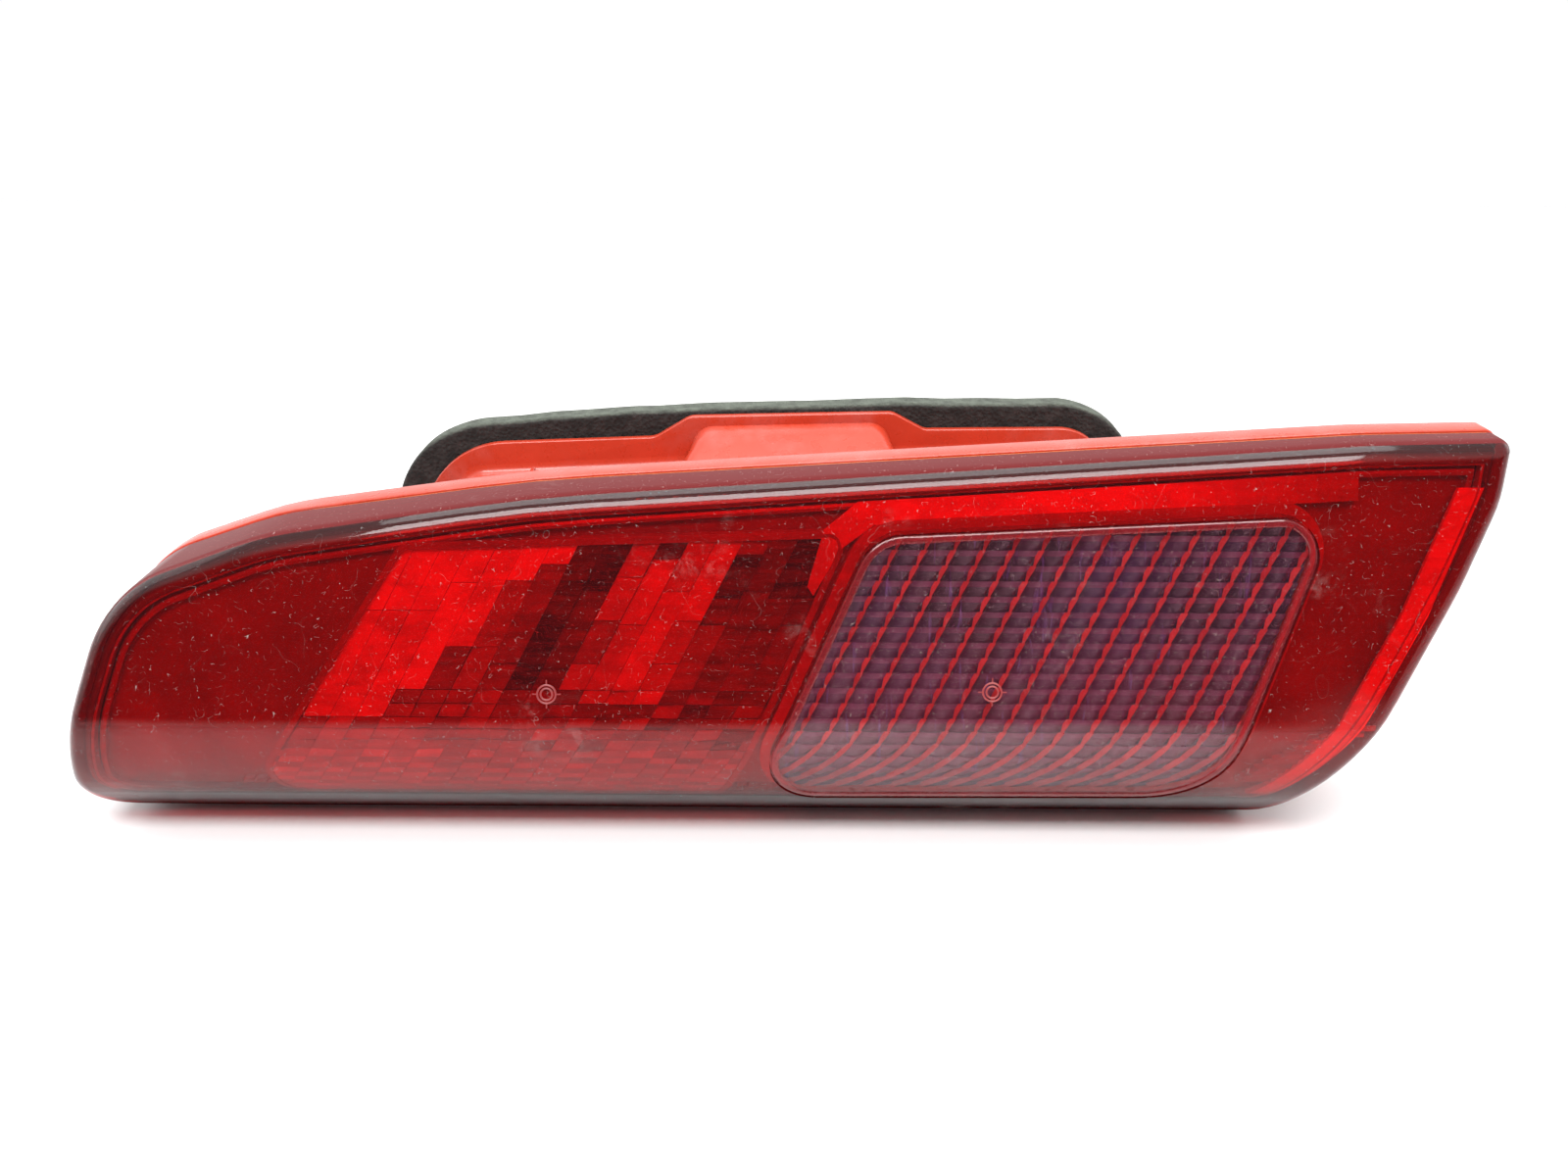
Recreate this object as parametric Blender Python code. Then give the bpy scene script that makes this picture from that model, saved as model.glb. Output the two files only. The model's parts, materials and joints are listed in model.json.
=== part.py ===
"""Boot-lid rear lamp of a car, standing on the curved lower edge of its lens.

Metres, +Z up. X runs along the lamp, the lens faces -Y, and the bulb carrier is at the back.
The origin is under the middle of the lamp, on the surface that it stands on.
"""

import math

import bmesh
import bpy
from mathutils import Matrix, Vector

# Overall size
LAMP_DEPTH = 0.112
GAP = 0.0003

# Lens: a face that leans back, rolled under to the bottom
LEAN = math.radians(20)
BELLY_RADIUS = 0.027
BELLY_Y = BELLY_RADIUS - LAMP_DEPTH / 2
BELLY_STEP = math.radians(10)
LENS_WALL = 0.0026
LENS_EDGE = 0.0042
LENS_BACK_Y = BELLY_Y + 0.006

# Outlines are seen from the front: x, z and corner radius, anticlockwise from the lower left
LENS = (
    (-0.1768, 0.0036, 0.014),
    (-0.1380, 0.0, 0.150),
    (0.1215, 0.0, 0.008),
    (0.1470, 0.0360, 0.080),
    (0.1628, 0.0650, 0.090),
    (0.1716, 0.0850, 0.030),
    (0.1738, 0.0988, 0.0025),
    (0.1400, 0.0980, 0.200),
    (-0.0600, 0.0854, 0.400),
    (-0.1235, 0.0764, 0.080),
    (-0.1614, 0.0634, 0.031),
    (-0.1706, 0.0360, 0.066),
)
WINDOW = ((-0.0090, 0.0125, 0.012), (0.1050, 0.0135, 0.024), (0.1325, 0.0828, 0.009), (0.0222, 0.0776, 0.012))
OPTIC = ((-0.1330, 0.0105, 0.006), (-0.014, 0.0105, 0.002), (0.017, 0.0765, 0.002), (-0.090, 0.0730, 0.003))
NECK = ((-0.092, 0.012, 0.010), (0.078, 0.012, 0.010), (0.078, 0.0800, 0.010), (-0.092, 0.0712, 0.010))
REAR_FLANGE = (
    (-0.1020, 0.008, 0.012),
    (0.0915, 0.008, 0.012),
    (0.0915, 0.0860, 0.014),
    (0.0400, 0.0854, 0.004),
    (0.0310, 0.0902, 0.005),
    (-0.0250, 0.0888, 0.006),
    (-0.0350, 0.0828, 0.006),
    (-0.1020, 0.0800, 0.026),
)
SEAL = (
    (-0.1105, 0.0, 0.014),
    (0.101, 0.0, 0.014),
    (0.101, 0.0922, 0.024),
    (0.030, 0.0922, 0.300),
    (-0.040, 0.0896, 0.200),
    (-0.1105, 0.0836, 0.030),
)

# Depths behind the lens, front to back
BEAD_THICKNESS = 0.0008
FLANGE_Y = LENS_BACK_Y + BEAD_THICKNESS + 2 * GAP
FLANGE_DEPTH = 0.005
TRAY_FLOOR = 0.002
TRAY_Y = FLANGE_Y + FLANGE_DEPTH
TRAY_WALL = 0.003
REAR_WALL_Y = BELLY_Y + 0.050
REAR_WALL = 0.0025
REAR_FACE_Y = REAR_WALL_Y + REAR_WALL
NECK_WALL = 0.0025
SEAL_WIDTH = 0.013
SEAL_DEPTH = 0.008
GASKET_DEPTH = 0.0012
CARRIER_Y = REAR_FACE_Y + GASKET_DEPTH + 2 * GAP
CARRIER_PLATE = 0.0025
TRACK_Y = CARRIER_Y + CARRIER_PLATE + GAP
TRACK_THICKNESS = 0.0008

# Inner bezel and prism optic, as depths behind the lens's outer face
BEZEL_SKIN = (0.0045, 0.0060)
OPTIC_SKIN = (0.0050, 0.0068)

# Bulbs: name, x of the axis, glass radius and glass length
LAMP_AXIS_Z = 0.040
BULBS = (
    ("fog", -0.058, 0.0125, 0.0365),
    ("tail", -0.024, 0.0090, 0.0240),
    ("reversing", 0.034, 0.0125, 0.0365),
)
BASE_RADIUS = 0.0075
BASE_LENGTH = 0.015
BASE_BACK_Y = BELLY_Y + 0.071
PIN_Y = BELLY_Y + 0.064
PIN_REACH = 0.0091
PIN_RADIUS = 0.001
TWIST = math.radians(20)
CUP_BORE = 0.0079
CUP_RADIUS = 0.010
CUP_FLOOR_Y = BELLY_Y + 0.074
CUP_BACK_Y = BELLY_Y + 0.0764
CONTACT_HOLE = 0.003
GLASS_ROWS = 6

# Carrier, latches and connector
CARRIER = ((-0.087, 0.017, 0.004), (0.069, 0.017, 0.004), (0.069, 0.063, 0.004), (-0.087, 0.063, 0.004))
CARRIER_OPENING_INSET = 0.008
LATCH_Z = (0.034, 0.046)
POST_Z = (0.033, 0.047)
LATCH_SPAN = (-0.087, 0.069)
LATCH_TOP_Y = BELLY_Y + 0.082
POST_TOP_Y = BELLY_Y + 0.0715
POST_INNER = 0.0016
POST_OUTER = 0.0040
HEADER_X = (0.0470, 0.0605)
HEADER_Z = (0.0185, 0.0615)
HEADER_WALL = 0.002
HEADER_BACK_Y = BELLY_Y + 0.075
BLADE_X = (0.0516, 0.0524)
BLADE_BACK_Y = BELLY_Y + 0.070
RUN_X = (0.0540, 0.0554)
TAIL_RUN_Z = (0.0520, 0.0536)
FOG_RUN_Z = (0.0548, 0.0564)
REVERSING_RUN_Z = (0.0264, 0.0280)
EARTH_RUN_Z = (0.0212, 0.0228)
THINNER_Y = (TRACK_Y, TRACK_Y + 0.0007)
NIB = 0.0022

# Fasteners: x and z of each stud
STUDS = ((-0.0915, 0.024), (-0.0915, 0.059), (0.080, 0.024), (0.080, 0.066))
STUD_RADIUS = 0.003
STUD_BACK_Y = LAMP_DEPTH / 2
BOSS_RADIUS = 0.0048
BOSS_HEIGHT = 0.0015
NUT_FRONT_Y = BELLY_Y + 0.0625
NUT_HEIGHT = 0.006
NUT_FLANGE_RADIUS = 0.0068
NUT_ACROSS_FLATS = 0.010

VENT_POSITION = (-0.010, 0.0705)
VENT_RADIUS = 0.005
VENT_BORE = 0.0015


def clear_scene():
    for existing in list(bpy.data.objects):
        bpy.data.objects.remove(existing, do_unlink=True)


def material(name, colour, roughness, metallic=0.0, transmission=0.0):
    made = bpy.data.materials.new(name)
    made.use_nodes = True
    shader = made.node_tree.nodes["Principled BSDF"]
    shader.inputs["Base Color"].default_value = (*colour, 1.0)
    shader.inputs["Roughness"].default_value = roughness
    shader.inputs["Metallic"].default_value = metallic
    shader.inputs["Transmission Weight"].default_value = transmission
    made.diffuse_color = (*colour, 1.0)
    return made


def add_object(name, bm, surface=None, smooth=True):
    """One object from a bmesh, with its faces turned outwards."""
    bmesh.ops.remove_doubles(bm, verts=bm.verts, dist=1e-6)
    bmesh.ops.recalc_face_normals(bm, faces=bm.faces)
    if bm.calc_volume(signed=True) < 0:
        bmesh.ops.reverse_faces(bm, faces=bm.faces)
    mesh = bpy.data.meshes.new(name)
    bm.to_mesh(mesh)
    bm.free()
    made = bpy.data.objects.new(name, mesh)
    bpy.context.collection.objects.link(made)
    if surface:
        mesh.materials.append(surface)
    if smooth:
        mesh.shade_smooth()
        mesh.set_sharp_from_angle(angle=math.radians(30))
    return made


def combine(target, bm, operation, solver="EXACT"):
    """Joins to the target, or cuts from it, the solids in a bmesh."""
    cutter = add_object(f"{target.name}_{operation.lower()}_{len(target.modifiers)}", bm, smooth=False)
    cutter.hide_render = True
    cutter.display_type = "WIRE"
    step = target.modifiers.new(cutter.name, "BOOLEAN")
    step.operation = operation
    step.solver = solver
    step.object = cutter


def inset_corners(corners, distance):
    """The same outline moved inwards, its corner radii shrunk to match."""
    moved = []
    for i, (x, z, radius) in enumerate(corners):
        here = Vector((x, z))
        before = Vector(corners[i - 1][:2])
        after = Vector(corners[(i + 1) % len(corners)][:2])
        along_in = (here - before).normalized()
        along_out = (after - here).normalized()
        normal_in = Vector((-along_in.y, along_in.x))
        normal_out = Vector((-along_out.y, along_out.x))
        at = here + distance * (normal_in + normal_out) / (1 + normal_in.dot(normal_out))
        bends_in = along_in.cross(along_out) > 0
        kept = radius - distance if bends_in else radius + distance
        moved.append((at.x, at.y, max(kept, 0.0003)))
    return moved


def outline_of(corners, distance=0.0, step=math.radians(15)):
    """Points (x, z) along a rounded outline, moved inwards by a distance."""
    corners = inset_corners(corners, distance)
    points = []
    for i, (x, z, radius) in enumerate(corners):
        here = Vector((x, z))
        back = (Vector(corners[i - 1][:2]) - here).normalized()
        on = (Vector(corners[(i + 1) % len(corners)][:2]) - here).normalized()
        turn = math.pi - back.angle(on)
        centre = here + (back + on).normalized() * radius / math.cos(turn / 2)
        spoke = here + back * radius * math.tan(turn / 2) - centre
        way = 1 if on.cross(back) > 0 else -1
        steps = max(2, math.ceil(turn / step - 0.01))
        for k in range(steps + 1):
            points.append(centre + Matrix.Rotation(way * turn * k / steps, 2) @ spoke)
    return [(p.x, p.y) for p in points]


def face_y(z, depth):
    """y of the surface that lies this deep behind the lens's outer face, at a height."""
    radius = BELLY_RADIUS - depth
    tangent_z = BELLY_RADIUS + radius * math.sin(LEAN)
    if z >= tangent_z:
        return BELLY_Y - radius * math.cos(LEAN) + (z - tangent_z) * math.tan(LEAN)
    return BELLY_Y - math.sqrt(max(radius**2 - (z - BELLY_RADIUS) ** 2, 0.0))


def belly_levels(depth):
    """Heights at which the rolled-under part of the face is divided."""
    radius = BELLY_RADIUS - depth
    steps = round((math.pi / 2 + LEAN) / BELLY_STEP)
    return [BELLY_RADIUS - radius * math.cos(k * BELLY_STEP) for k in range(1, steps + 1)]


def divide_at(bm, levels):
    for level in levels:
        geometry = bm.verts[:] + bm.edges[:] + bm.faces[:]
        bmesh.ops.bisect_plane(bm, geom=geometry, plane_co=(0, 0, level), plane_no=(0, 0, 1))


def stack(loops, closed=False):
    """A solid through equal loops of points: capped at both ends, or joined into a ring."""
    bm = bmesh.new()
    rows = [[bm.verts.new(point) for point in loop] for loop in loops]
    pairs = list(zip(rows, rows[1:]))
    if closed:
        pairs.append((rows[-1], rows[0]))
    else:
        bm.faces.new(rows[0])
        bm.faces.new(rows[-1])
    for near, far in pairs:
        for i in range(len(near)):
            bm.faces.new((near[i - 1], near[i], far[i], far[i - 1]))
    return bm


def prism(corners, y_front, y_back, distance=0.0):
    points = outline_of(corners, distance)
    return stack([[(x, y, z) for x, z in points] for y in (y_front, y_back)])


def body_behind(corners, depth, edge, back_y, steps=4):
    """A solid whose front follows the lens's face, with a rounded front edge and a flat back."""
    back = 1.0
    loops = [[(x, back, z) for x, z in outline_of(corners, depth)]]
    for k in range(steps + 1):
        angle = math.pi / 2 * k / steps
        inwards = depth + edge * (1 - math.cos(angle))
        loops.append([(x, edge * (1 - math.sin(angle)), z) for x, z in outline_of(corners, inwards)])
    bm = stack(loops)
    divide_at(bm, belly_levels(depth))
    for vert in bm.verts:
        vert.co.y = back_y if vert.co.y > back / 2 else face_y(vert.co.z, depth) + vert.co.y
    return bm


def sheet(corners, distance, skin):
    """A sheet between two depths behind the lens's face."""
    front, back = skin
    bm = prism(corners, 0.0, 1.0, distance)
    divide_at(bm, belly_levels(front))
    for vert in bm.verts:
        vert.co.y = face_y(vert.co.z, back if vert.co.y > 0.5 else front)
    return bm


def box(x, y, z):
    bm = bmesh.new()
    bmesh.ops.create_cube(bm, size=1.0)
    for vert in bm.verts:
        vert.co = Vector([low + (side + 0.5) * (high - low) for side, (low, high) in zip(vert.co, (x, y, z))])
    return bm


def joined(*parts):
    """One bmesh from several that stay clear of each other."""
    whole = bmesh.new()
    for part in parts:
        mesh = bpy.data.meshes.new("part")
        part.to_mesh(mesh)
        part.free()
        whole.from_mesh(mesh)
        bpy.data.meshes.remove(mesh)
    return whole


def turned(profile, x, z, segments=20, start=0.0):
    """A solid turned about an axis along Y, from a closed profile of (radius, y)."""
    rings = []
    for radius, y in profile:
        ring = []
        for i in range(segments):
            angle = start + 2 * math.pi * i / segments
            ring.append((x + radius * math.cos(angle), y, z + radius * math.sin(angle)))
        rings.append(ring)
    hollow = profile[0][0] > 0 and profile[-1][0] > 0
    bm = stack(rings, closed=hollow)
    bmesh.ops.remove_doubles(bm, verts=bm.verts, dist=1e-7)
    loose = [edge for edge in bm.edges if not edge.link_faces]
    bmesh.ops.delete(bm, geom=loose, context="EDGES")
    return bm


def cylinder(x, z, radius, y_front, y_back, segments=20):
    return turned([(0, y_front), (radius, y_front), (radius, y_back), (0, y_back)], x, z, segments)


def cross_rod(centre, direction, radius, length, segments=8):
    """A round rod through a centre, along any direction."""
    bm = bmesh.new()
    bmesh.ops.create_cone(
        bm, cap_ends=True, segments=segments, radius1=radius, radius2=radius, depth=length
    )
    turn = Vector((0, 0, 1)).rotation_difference(Vector(direction)).to_matrix().to_4x4()
    bm.transform(Matrix.Translation(centre) @ turn)
    return bm


def make_lens_group(paint):
    lens = add_object("outer_lens", body_behind(LENS, 0.0, LENS_EDGE, LENS_BACK_Y), paint["red_lens"])
    hollow_back = LENS_BACK_Y + 0.005
    combine(lens, body_behind(LENS, LENS_WALL, LENS_EDGE - LENS_WALL / 2, hollow_back, 2), "DIFFERENCE")
    combine(lens, prism(WINDOW, BELLY_Y - 0.04, BELLY_Y), "DIFFERENCE")
    add_object("window_lens", sheet(WINDOW, GAP, (0.0, LENS_WALL)), paint["violet_lens"])

    outer, inner = BEZEL_SKIN
    bezel_back = LENS_BACK_Y - GAP
    bezel = add_object("inner_bezel", body_behind(LENS, outer, 0.002, bezel_back, 1), paint["dark_red"])
    combine(bezel, body_behind(LENS, inner, 0.001, bezel_back + 0.005, 1), "DIFFERENCE")
    combine(bezel, prism(WINDOW, BELLY_Y - 0.04, BELLY_Y + 0.004, 0.001), "DIFFERENCE")
    combine(bezel, prism(OPTIC, BELLY_Y - 0.04, BELLY_Y + 0.004, -GAP), "DIFFERENCE")
    add_object("prism_optic", sheet(OPTIC, 0.0, OPTIC_SKIN), paint["red_lens"])

    bead_y = (LENS_BACK_Y + GAP, LENS_BACK_Y + GAP + BEAD_THICKNESS)
    loops = []
    for distance, y in ((GAP, bead_y[0]), (GAP, bead_y[1]), (LENS_WALL, bead_y[1]), (LENS_WALL, bead_y[0])):
        loops.append([(x, y, z) for x, z in outline_of(LENS, distance)])
    add_object("weld_bead", stack(loops, closed=True), paint["orange_bead"])


def hump():
    """The raised hump on top of the neck, a ramp that widens towards its foot."""
    foot = ((-0.033, 0.060), (0.037, 0.060), (0.0345, 0.0775), (-0.0305, 0.0735))
    crest = ((-0.033, 0.060), (0.037, 0.060), (0.0290, 0.0876), (-0.0225, 0.0862))
    y_foot = BELLY_Y + 0.024
    y_crest = BELLY_Y + 0.046
    y_back = REAR_WALL_Y + REAR_WALL / 2
    sections = ((foot, y_foot), (crest, y_crest), (crest, y_back))
    return stack([[(x, y, z) for x, z in shape] for shape, y in sections])


def latch_post(side):
    """A post with an inward lip that a latch arm's nose snaps under. side is -1 at the left."""
    edge = LATCH_SPAN[0] if side < 0 else LATCH_SPAN[1]
    foot = REAR_FACE_Y - REAR_WALL / 2
    lip = POST_TOP_Y - 0.0019
    profile = (
        (POST_OUTER, foot),
        (POST_OUTER, POST_TOP_Y),
        (0.0000, POST_TOP_Y),
        (0.0000, POST_TOP_Y - 0.0009),
        (0.0006, lip),
        (POST_INNER, lip),
        (POST_INNER, foot),
    )
    return stack([[(edge + side * x, y, z) for x, y in profile] for z in POST_Z])


def make_housing(paint):
    """Red tray behind the lens, neck, hump, rear wall with its opening, posts and stud bosses."""
    housing = add_object("housing", prism(LENS, FLANGE_Y, TRAY_Y + TRAY_FLOOR, -0.0003), paint["red_body"])
    combine(housing, prism(NECK, TRAY_Y + TRAY_FLOOR / 2, REAR_WALL_Y + REAR_WALL / 2), "UNION")
    combine(housing, prism(REAR_FLANGE, REAR_WALL_Y, REAR_FACE_Y), "UNION")
    combine(housing, hump(), "UNION")
    combine(housing, prism(LENS, FLANGE_Y - 0.002, TRAY_Y, TRAY_WALL), "DIFFERENCE")
    combine(housing, prism(NECK, FLANGE_Y - 0.001, REAR_WALL_Y, NECK_WALL), "DIFFERENCE")
    opening = prism(CARRIER, REAR_WALL_Y - 0.001, REAR_FACE_Y + 0.001, CARRIER_OPENING_INSET)
    combine(housing, opening, "DIFFERENCE")
    divider = box((-0.004, -0.002), (BELLY_Y + 0.001, REAR_WALL_Y + 0.001), (0.0135, 0.0760))
    combine(housing, divider, "UNION")
    combine(housing, joined(latch_post(-1), latch_post(1)), "UNION")
    boss_y = (REAR_FACE_Y - 0.001, REAR_FACE_Y + BOSS_HEIGHT)
    combine(housing, joined(*(cylinder(x, z, BOSS_RADIUS, *boss_y) for x, z in STUDS)), "UNION")
    sockets = (cylinder(x, z, STUD_RADIUS + GAP, REAR_WALL_Y + 0.001, REAR_FACE_Y + 0.004) for x, z in STUDS)
    combine(housing, joined(*sockets), "DIFFERENCE")


def make_reflector(name, rim, throat, surface, side_hole=None):
    """A bright bowl from a square rim to a round throat. rim: x span, z span; throat: x, radius."""
    (x_low, x_high), (z_low, z_high) = rim
    rim_y = BELLY_Y - 0.003
    throat_y = BELLY_Y + 0.0455
    wall = 0.0012
    rows = 5
    segments = 24
    skins = []
    for inner in (0.0, wall):
        skin = []
        for row in range(rows + 1):
            t = row / rows
            opening = math.sqrt(1 - t)
            half_x = throat[1] + ((x_high - x_low) / 2 - throat[1]) * opening - inner
            half_z = throat[1] + ((z_high - z_low) / 2 - throat[1]) * opening - inner
            centre_x = throat[0] + ((x_low + x_high) / 2 - throat[0]) * opening
            centre_z = LAMP_AXIS_Z + ((z_low + z_high) / 2 - LAMP_AXIS_Z) * opening
            power = 2 / (2 + 5 * opening)
            loop = []
            for i in range(segments):
                angle = 2 * math.pi * i / segments
                c, s = math.cos(angle), math.sin(angle)
                x = centre_x + half_x * math.copysign(abs(c) ** power, c)
                z = centre_z + half_z * math.copysign(abs(s) ** power, s)
                loop.append((x, rim_y + (throat_y - rim_y) * t, z))
            skin.append(loop)
        skins.append(skin)
    bowl = add_object(name, stack(skins[0] + skins[1][::-1], closed=True), surface)
    if side_hole:
        combine(bowl, cylinder(side_hole[0], LAMP_AXIS_Z, side_hole[1], rim_y, throat_y + 0.01), "DIFFERENCE")


def make_seals(paint):
    y_span = (REAR_FACE_Y + GAP, REAR_FACE_Y + GAP + SEAL_DEPTH)
    round_edge = 0.0015
    section = (
        (round_edge, y_span[0]),
        (0.0, y_span[0] + round_edge),
        (0.0, y_span[1] - round_edge),
        (round_edge, y_span[1]),
        (SEAL_WIDTH, y_span[1]),
        (SEAL_WIDTH, y_span[0]),
    )
    loops = [[(x, y, z) for x, z in outline_of(SEAL, distance)] for distance, y in section]
    add_object("seal_ring", stack(loops, closed=True), paint["black_foam"])
    gasket = prism(CARRIER, REAR_FACE_Y + GAP, REAR_FACE_Y + GAP + GASKET_DEPTH, 0.001)
    gasket = add_object("carrier_gasket", gasket, paint["rubber"])
    combine(gasket, prism(CARRIER, REAR_WALL_Y, CARRIER_Y, CARRIER_OPENING_INSET - 0.001), "DIFFERENCE")

    x, z = VENT_POSITION
    y = REAR_FACE_Y + GAP
    shoulder = y + 0.005
    top = y + 0.008
    bore_end = y + 0.003
    profile = [(0, y), (VENT_RADIUS, y), (VENT_RADIUS, shoulder), (VENT_RADIUS - 0.001, top)]
    profile += [(VENT_BORE, top), (VENT_BORE, bore_end), (0, bore_end)]
    add_object("vent_cap", turned(profile, x, z, 16), paint["rubber"])


def bayonet_arc(x, start, end, radii, y_span, steps=4):
    """A block that fills a ring sector about a bulb's axis, for the bayonet slots."""
    sector = []
    for radius, order in ((radii[0], range(steps + 1)), (radii[1], range(steps, -1, -1))):
        for k in order:
            angle = start + (end - start) * k / steps
            sector.append((x + radius * math.cos(angle), LAMP_AXIS_Z + radius * math.sin(angle)))
    return stack([[(px, y, pz) for px, pz in sector] for y in y_span])


def make_carrier(paint):
    """Plate with three bayonet cups, each with two J-shaped slots and a hole for its contact."""
    plate_y = (CARRIER_Y, CARRIER_Y + CARRIER_PLATE)
    carrier = add_object("bulb_carrier", prism(CARRIER, *plate_y), paint["grey_plastic"])
    axes = [x for _, x, _, _ in BULBS]
    cups = (cylinder(x, LAMP_AXIS_Z, CUP_RADIUS, CARRIER_Y + 0.001, CUP_BACK_Y, 24) for x in axes)
    combine(carrier, joined(*cups), "UNION")
    bore = [(0, CARRIER_Y - 0.001), (CUP_BORE, CARRIER_Y - 0.001), (CUP_BORE, CUP_FLOOR_Y)]
    bore += [(CONTACT_HOLE, CUP_FLOOR_Y), (CONTACT_HOLE, CUP_BACK_Y + 0.001), (0, CUP_BACK_Y + 0.001)]
    combine(carrier, joined(*(turned(bore, x, LAMP_AXIS_Z, 24) for x in axes)), "DIFFERENCE")
    radii = (CUP_BORE - 0.001, CUP_RADIUS + 0.002)
    slack = math.radians(8)
    sides = [(x, side) for x in axes for side in (0.0, math.pi)]
    across = (
        bayonet_arc(x, side - slack, side + TWIST + slack, radii, (PIN_Y - 0.0014, PIN_Y + 0.0014))
        for x, side in sides
    )
    combine(carrier, joined(*across), "DIFFERENCE", "MANIFOLD")
    along = (
        bayonet_arc(x, side + TWIST - slack, side + TWIST + slack, radii, (CARRIER_Y - 0.001, PIN_Y + 0.0012))
        for x, side in sides
    )
    combine(carrier, joined(*along), "DIFFERENCE", "MANIFOLD")


def make_latch_arm(name, side, surface):
    """A sprung arm with a nose and a finger tab, its origin on the root that it flexes about."""
    edge = LATCH_SPAN[0] if side < 0 else LATCH_SPAN[1]
    root = Vector((edge - side * 0.0018, BELLY_Y + 0.0581, sum(LATCH_Z) / 2))
    profile = (
        (-0.0008, TRACK_Y),
        (-0.0008, BELLY_Y + 0.0650),
        (0.0009, BELLY_Y + 0.0680),
        (0.0009, BELLY_Y + 0.0692),
        (-0.0008, BELLY_Y + 0.0692),
        (-0.0008, BELLY_Y + 0.0790),
        (0.0000, LATCH_TOP_Y),
        (-0.0028, LATCH_TOP_Y),
        (-0.0028, TRACK_Y),
    )
    loops = [[Vector((edge + side * x, y, z)) - root for x, y in profile] for z in LATCH_Z]
    arm = add_object(name, stack(loops), surface)
    arm.location = root


def make_bulb(name, x, radius, length, paint):
    """Glass, base with two bayonet pins, insulator with its contact, and filament on its stem."""
    pivot = bpy.data.objects.new(f"{name}_bulb_axis", None)
    bpy.context.collection.objects.link(pivot)
    pivot.location = (x, PIN_Y, LAMP_AXIS_Z)

    def place(part):
        part.parent = pivot
        part.matrix_parent_inverse = Matrix.Translation(-pivot.location)

    base_front = BASE_BACK_Y - BASE_LENGTH
    wall = 0.0006
    z = LAMP_AXIS_Z
    cup = [(BASE_RADIUS, base_front), (BASE_RADIUS, BASE_BACK_Y - 0.001), (BASE_RADIUS - 0.001, BASE_BACK_Y)]
    cup += [(0.0030, BASE_BACK_Y), (0.0030, BASE_BACK_Y - wall), (BASE_RADIUS - wall, BASE_BACK_Y - 0.0014)]
    cup.append((BASE_RADIUS - wall, base_front))
    base = add_object(f"{name}_bulb_base", turned(cup, x, z, 18), paint["brass"])
    reach = PIN_REACH - BASE_RADIUS + wall
    pins = []
    for side in (-1, 1):
        centre = Vector((x + side * (PIN_REACH - reach / 2), PIN_Y, z))
        pins.append(cross_rod(centre, (1, 0, 0), PIN_RADIUS, reach, 10))
    combine(base, joined(*pins), "UNION")
    place(base)

    neck = BASE_RADIUS - wall - GAP
    top = base_front - length
    glass_wall = 0.0007
    bulge_y = top + radius
    skins = []
    for thinner in (0.0, glass_wall):
        skin = [(neck - thinner, base_front + 0.004), (neck - thinner, base_front - 0.002)]
        for k in range(GLASS_ROWS + 1):
            angle = math.radians(-50) + math.radians(140) * k / GLASS_ROWS
            ring = (radius - thinner) * math.cos(angle)
            skin.append((max(ring, 0.0), bulge_y - (radius - thinner) * math.sin(angle)))
        skins.append(skin)
    shell = skins[0] + skins[1][::-1]
    place(add_object(f"{name}_bulb_glass", turned(shell, x, z, 16), paint["glass"]))

    tip = [(0, BASE_BACK_Y - 0.0020), (0.0026, BASE_BACK_Y - 0.0020), (0.0026, BASE_BACK_Y + GAP)]
    tip += [(0.0055, BASE_BACK_Y + GAP), (0.0040, BASE_BACK_Y + 0.0010), (0.0018, BASE_BACK_Y + 0.0012)]
    tip += [(0.0014, BASE_BACK_Y + 0.0017), (0, BASE_BACK_Y + 0.0017)]
    place(add_object(f"{name}_bulb_contact", turned(tip, x, z, 12), paint["insulator"]))

    coil_y = bulge_y + 0.001
    stem = cylinder(x, z, 0.0022, base_front - 0.004, base_front + 0.009, 10)
    filament = add_object(f"{name}_bulb_filament", stem, paint["tungsten"])
    wires = []
    for side in (-1, 1):
        length_y = base_front - 0.002 - coil_y
        centre = Vector((x + side * 0.0016, coil_y + length_y / 2, z))
        wires.append(cross_rod(centre, (0, 1, 0), 0.0003, length_y, 6))
    combine(filament, joined(*wires), "UNION")
    combine(filament, cross_rod(Vector((x, coil_y + 0.0002, z)), (1, 0, 0), 0.0006, 0.0050, 8), "UNION")
    place(filament)


def strip(x, z, y=(TRACK_Y, TRACK_Y + TRACK_THICKNESS)):
    """A flat run of pressed metal on the carrier's back."""
    return box(x, y, z)


def make_track(name, parts, surface):
    """A pressed metal track: the first block, with the others joined to it."""
    track = add_object(name, parts[0], surface, smooth=False)
    for part in parts[1:]:
        combine(track, part, "UNION")


def feed_contact(x, side):
    """Blocks that climb a cup's side and reach over its floor to the bulb's contact. side is 1 above."""
    z_out = LAMP_AXIS_Z + side * (CUP_RADIUS + 0.0012)
    z_in = LAMP_AXIS_Z + side * (CUP_RADIUS + 0.0004)
    z_leg = tuple(sorted((z_out, z_in)))
    z_arm = tuple(sorted((z_out, LAMP_AXIS_Z - side * 0.0012)))
    x_span = (x - 0.002, x + 0.002)
    over = CUP_BACK_Y + 0.0008
    leg = box(x_span, (TRACK_Y, over + TRACK_THICKNESS), z_leg)
    arm = box((x - 0.0018, x + 0.0018), (over, over + TRACK_THICKNESS - 0.0001), z_arm)
    nib_z = (LAMP_AXIS_Z - NIB / 2, LAMP_AXIS_Z + NIB / 2)
    nib = box((x - NIB / 2, x + NIB / 2), (BASE_BACK_Y + 0.0021, over + 0.0004), nib_z)
    return [leg, arm, nib]


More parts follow.
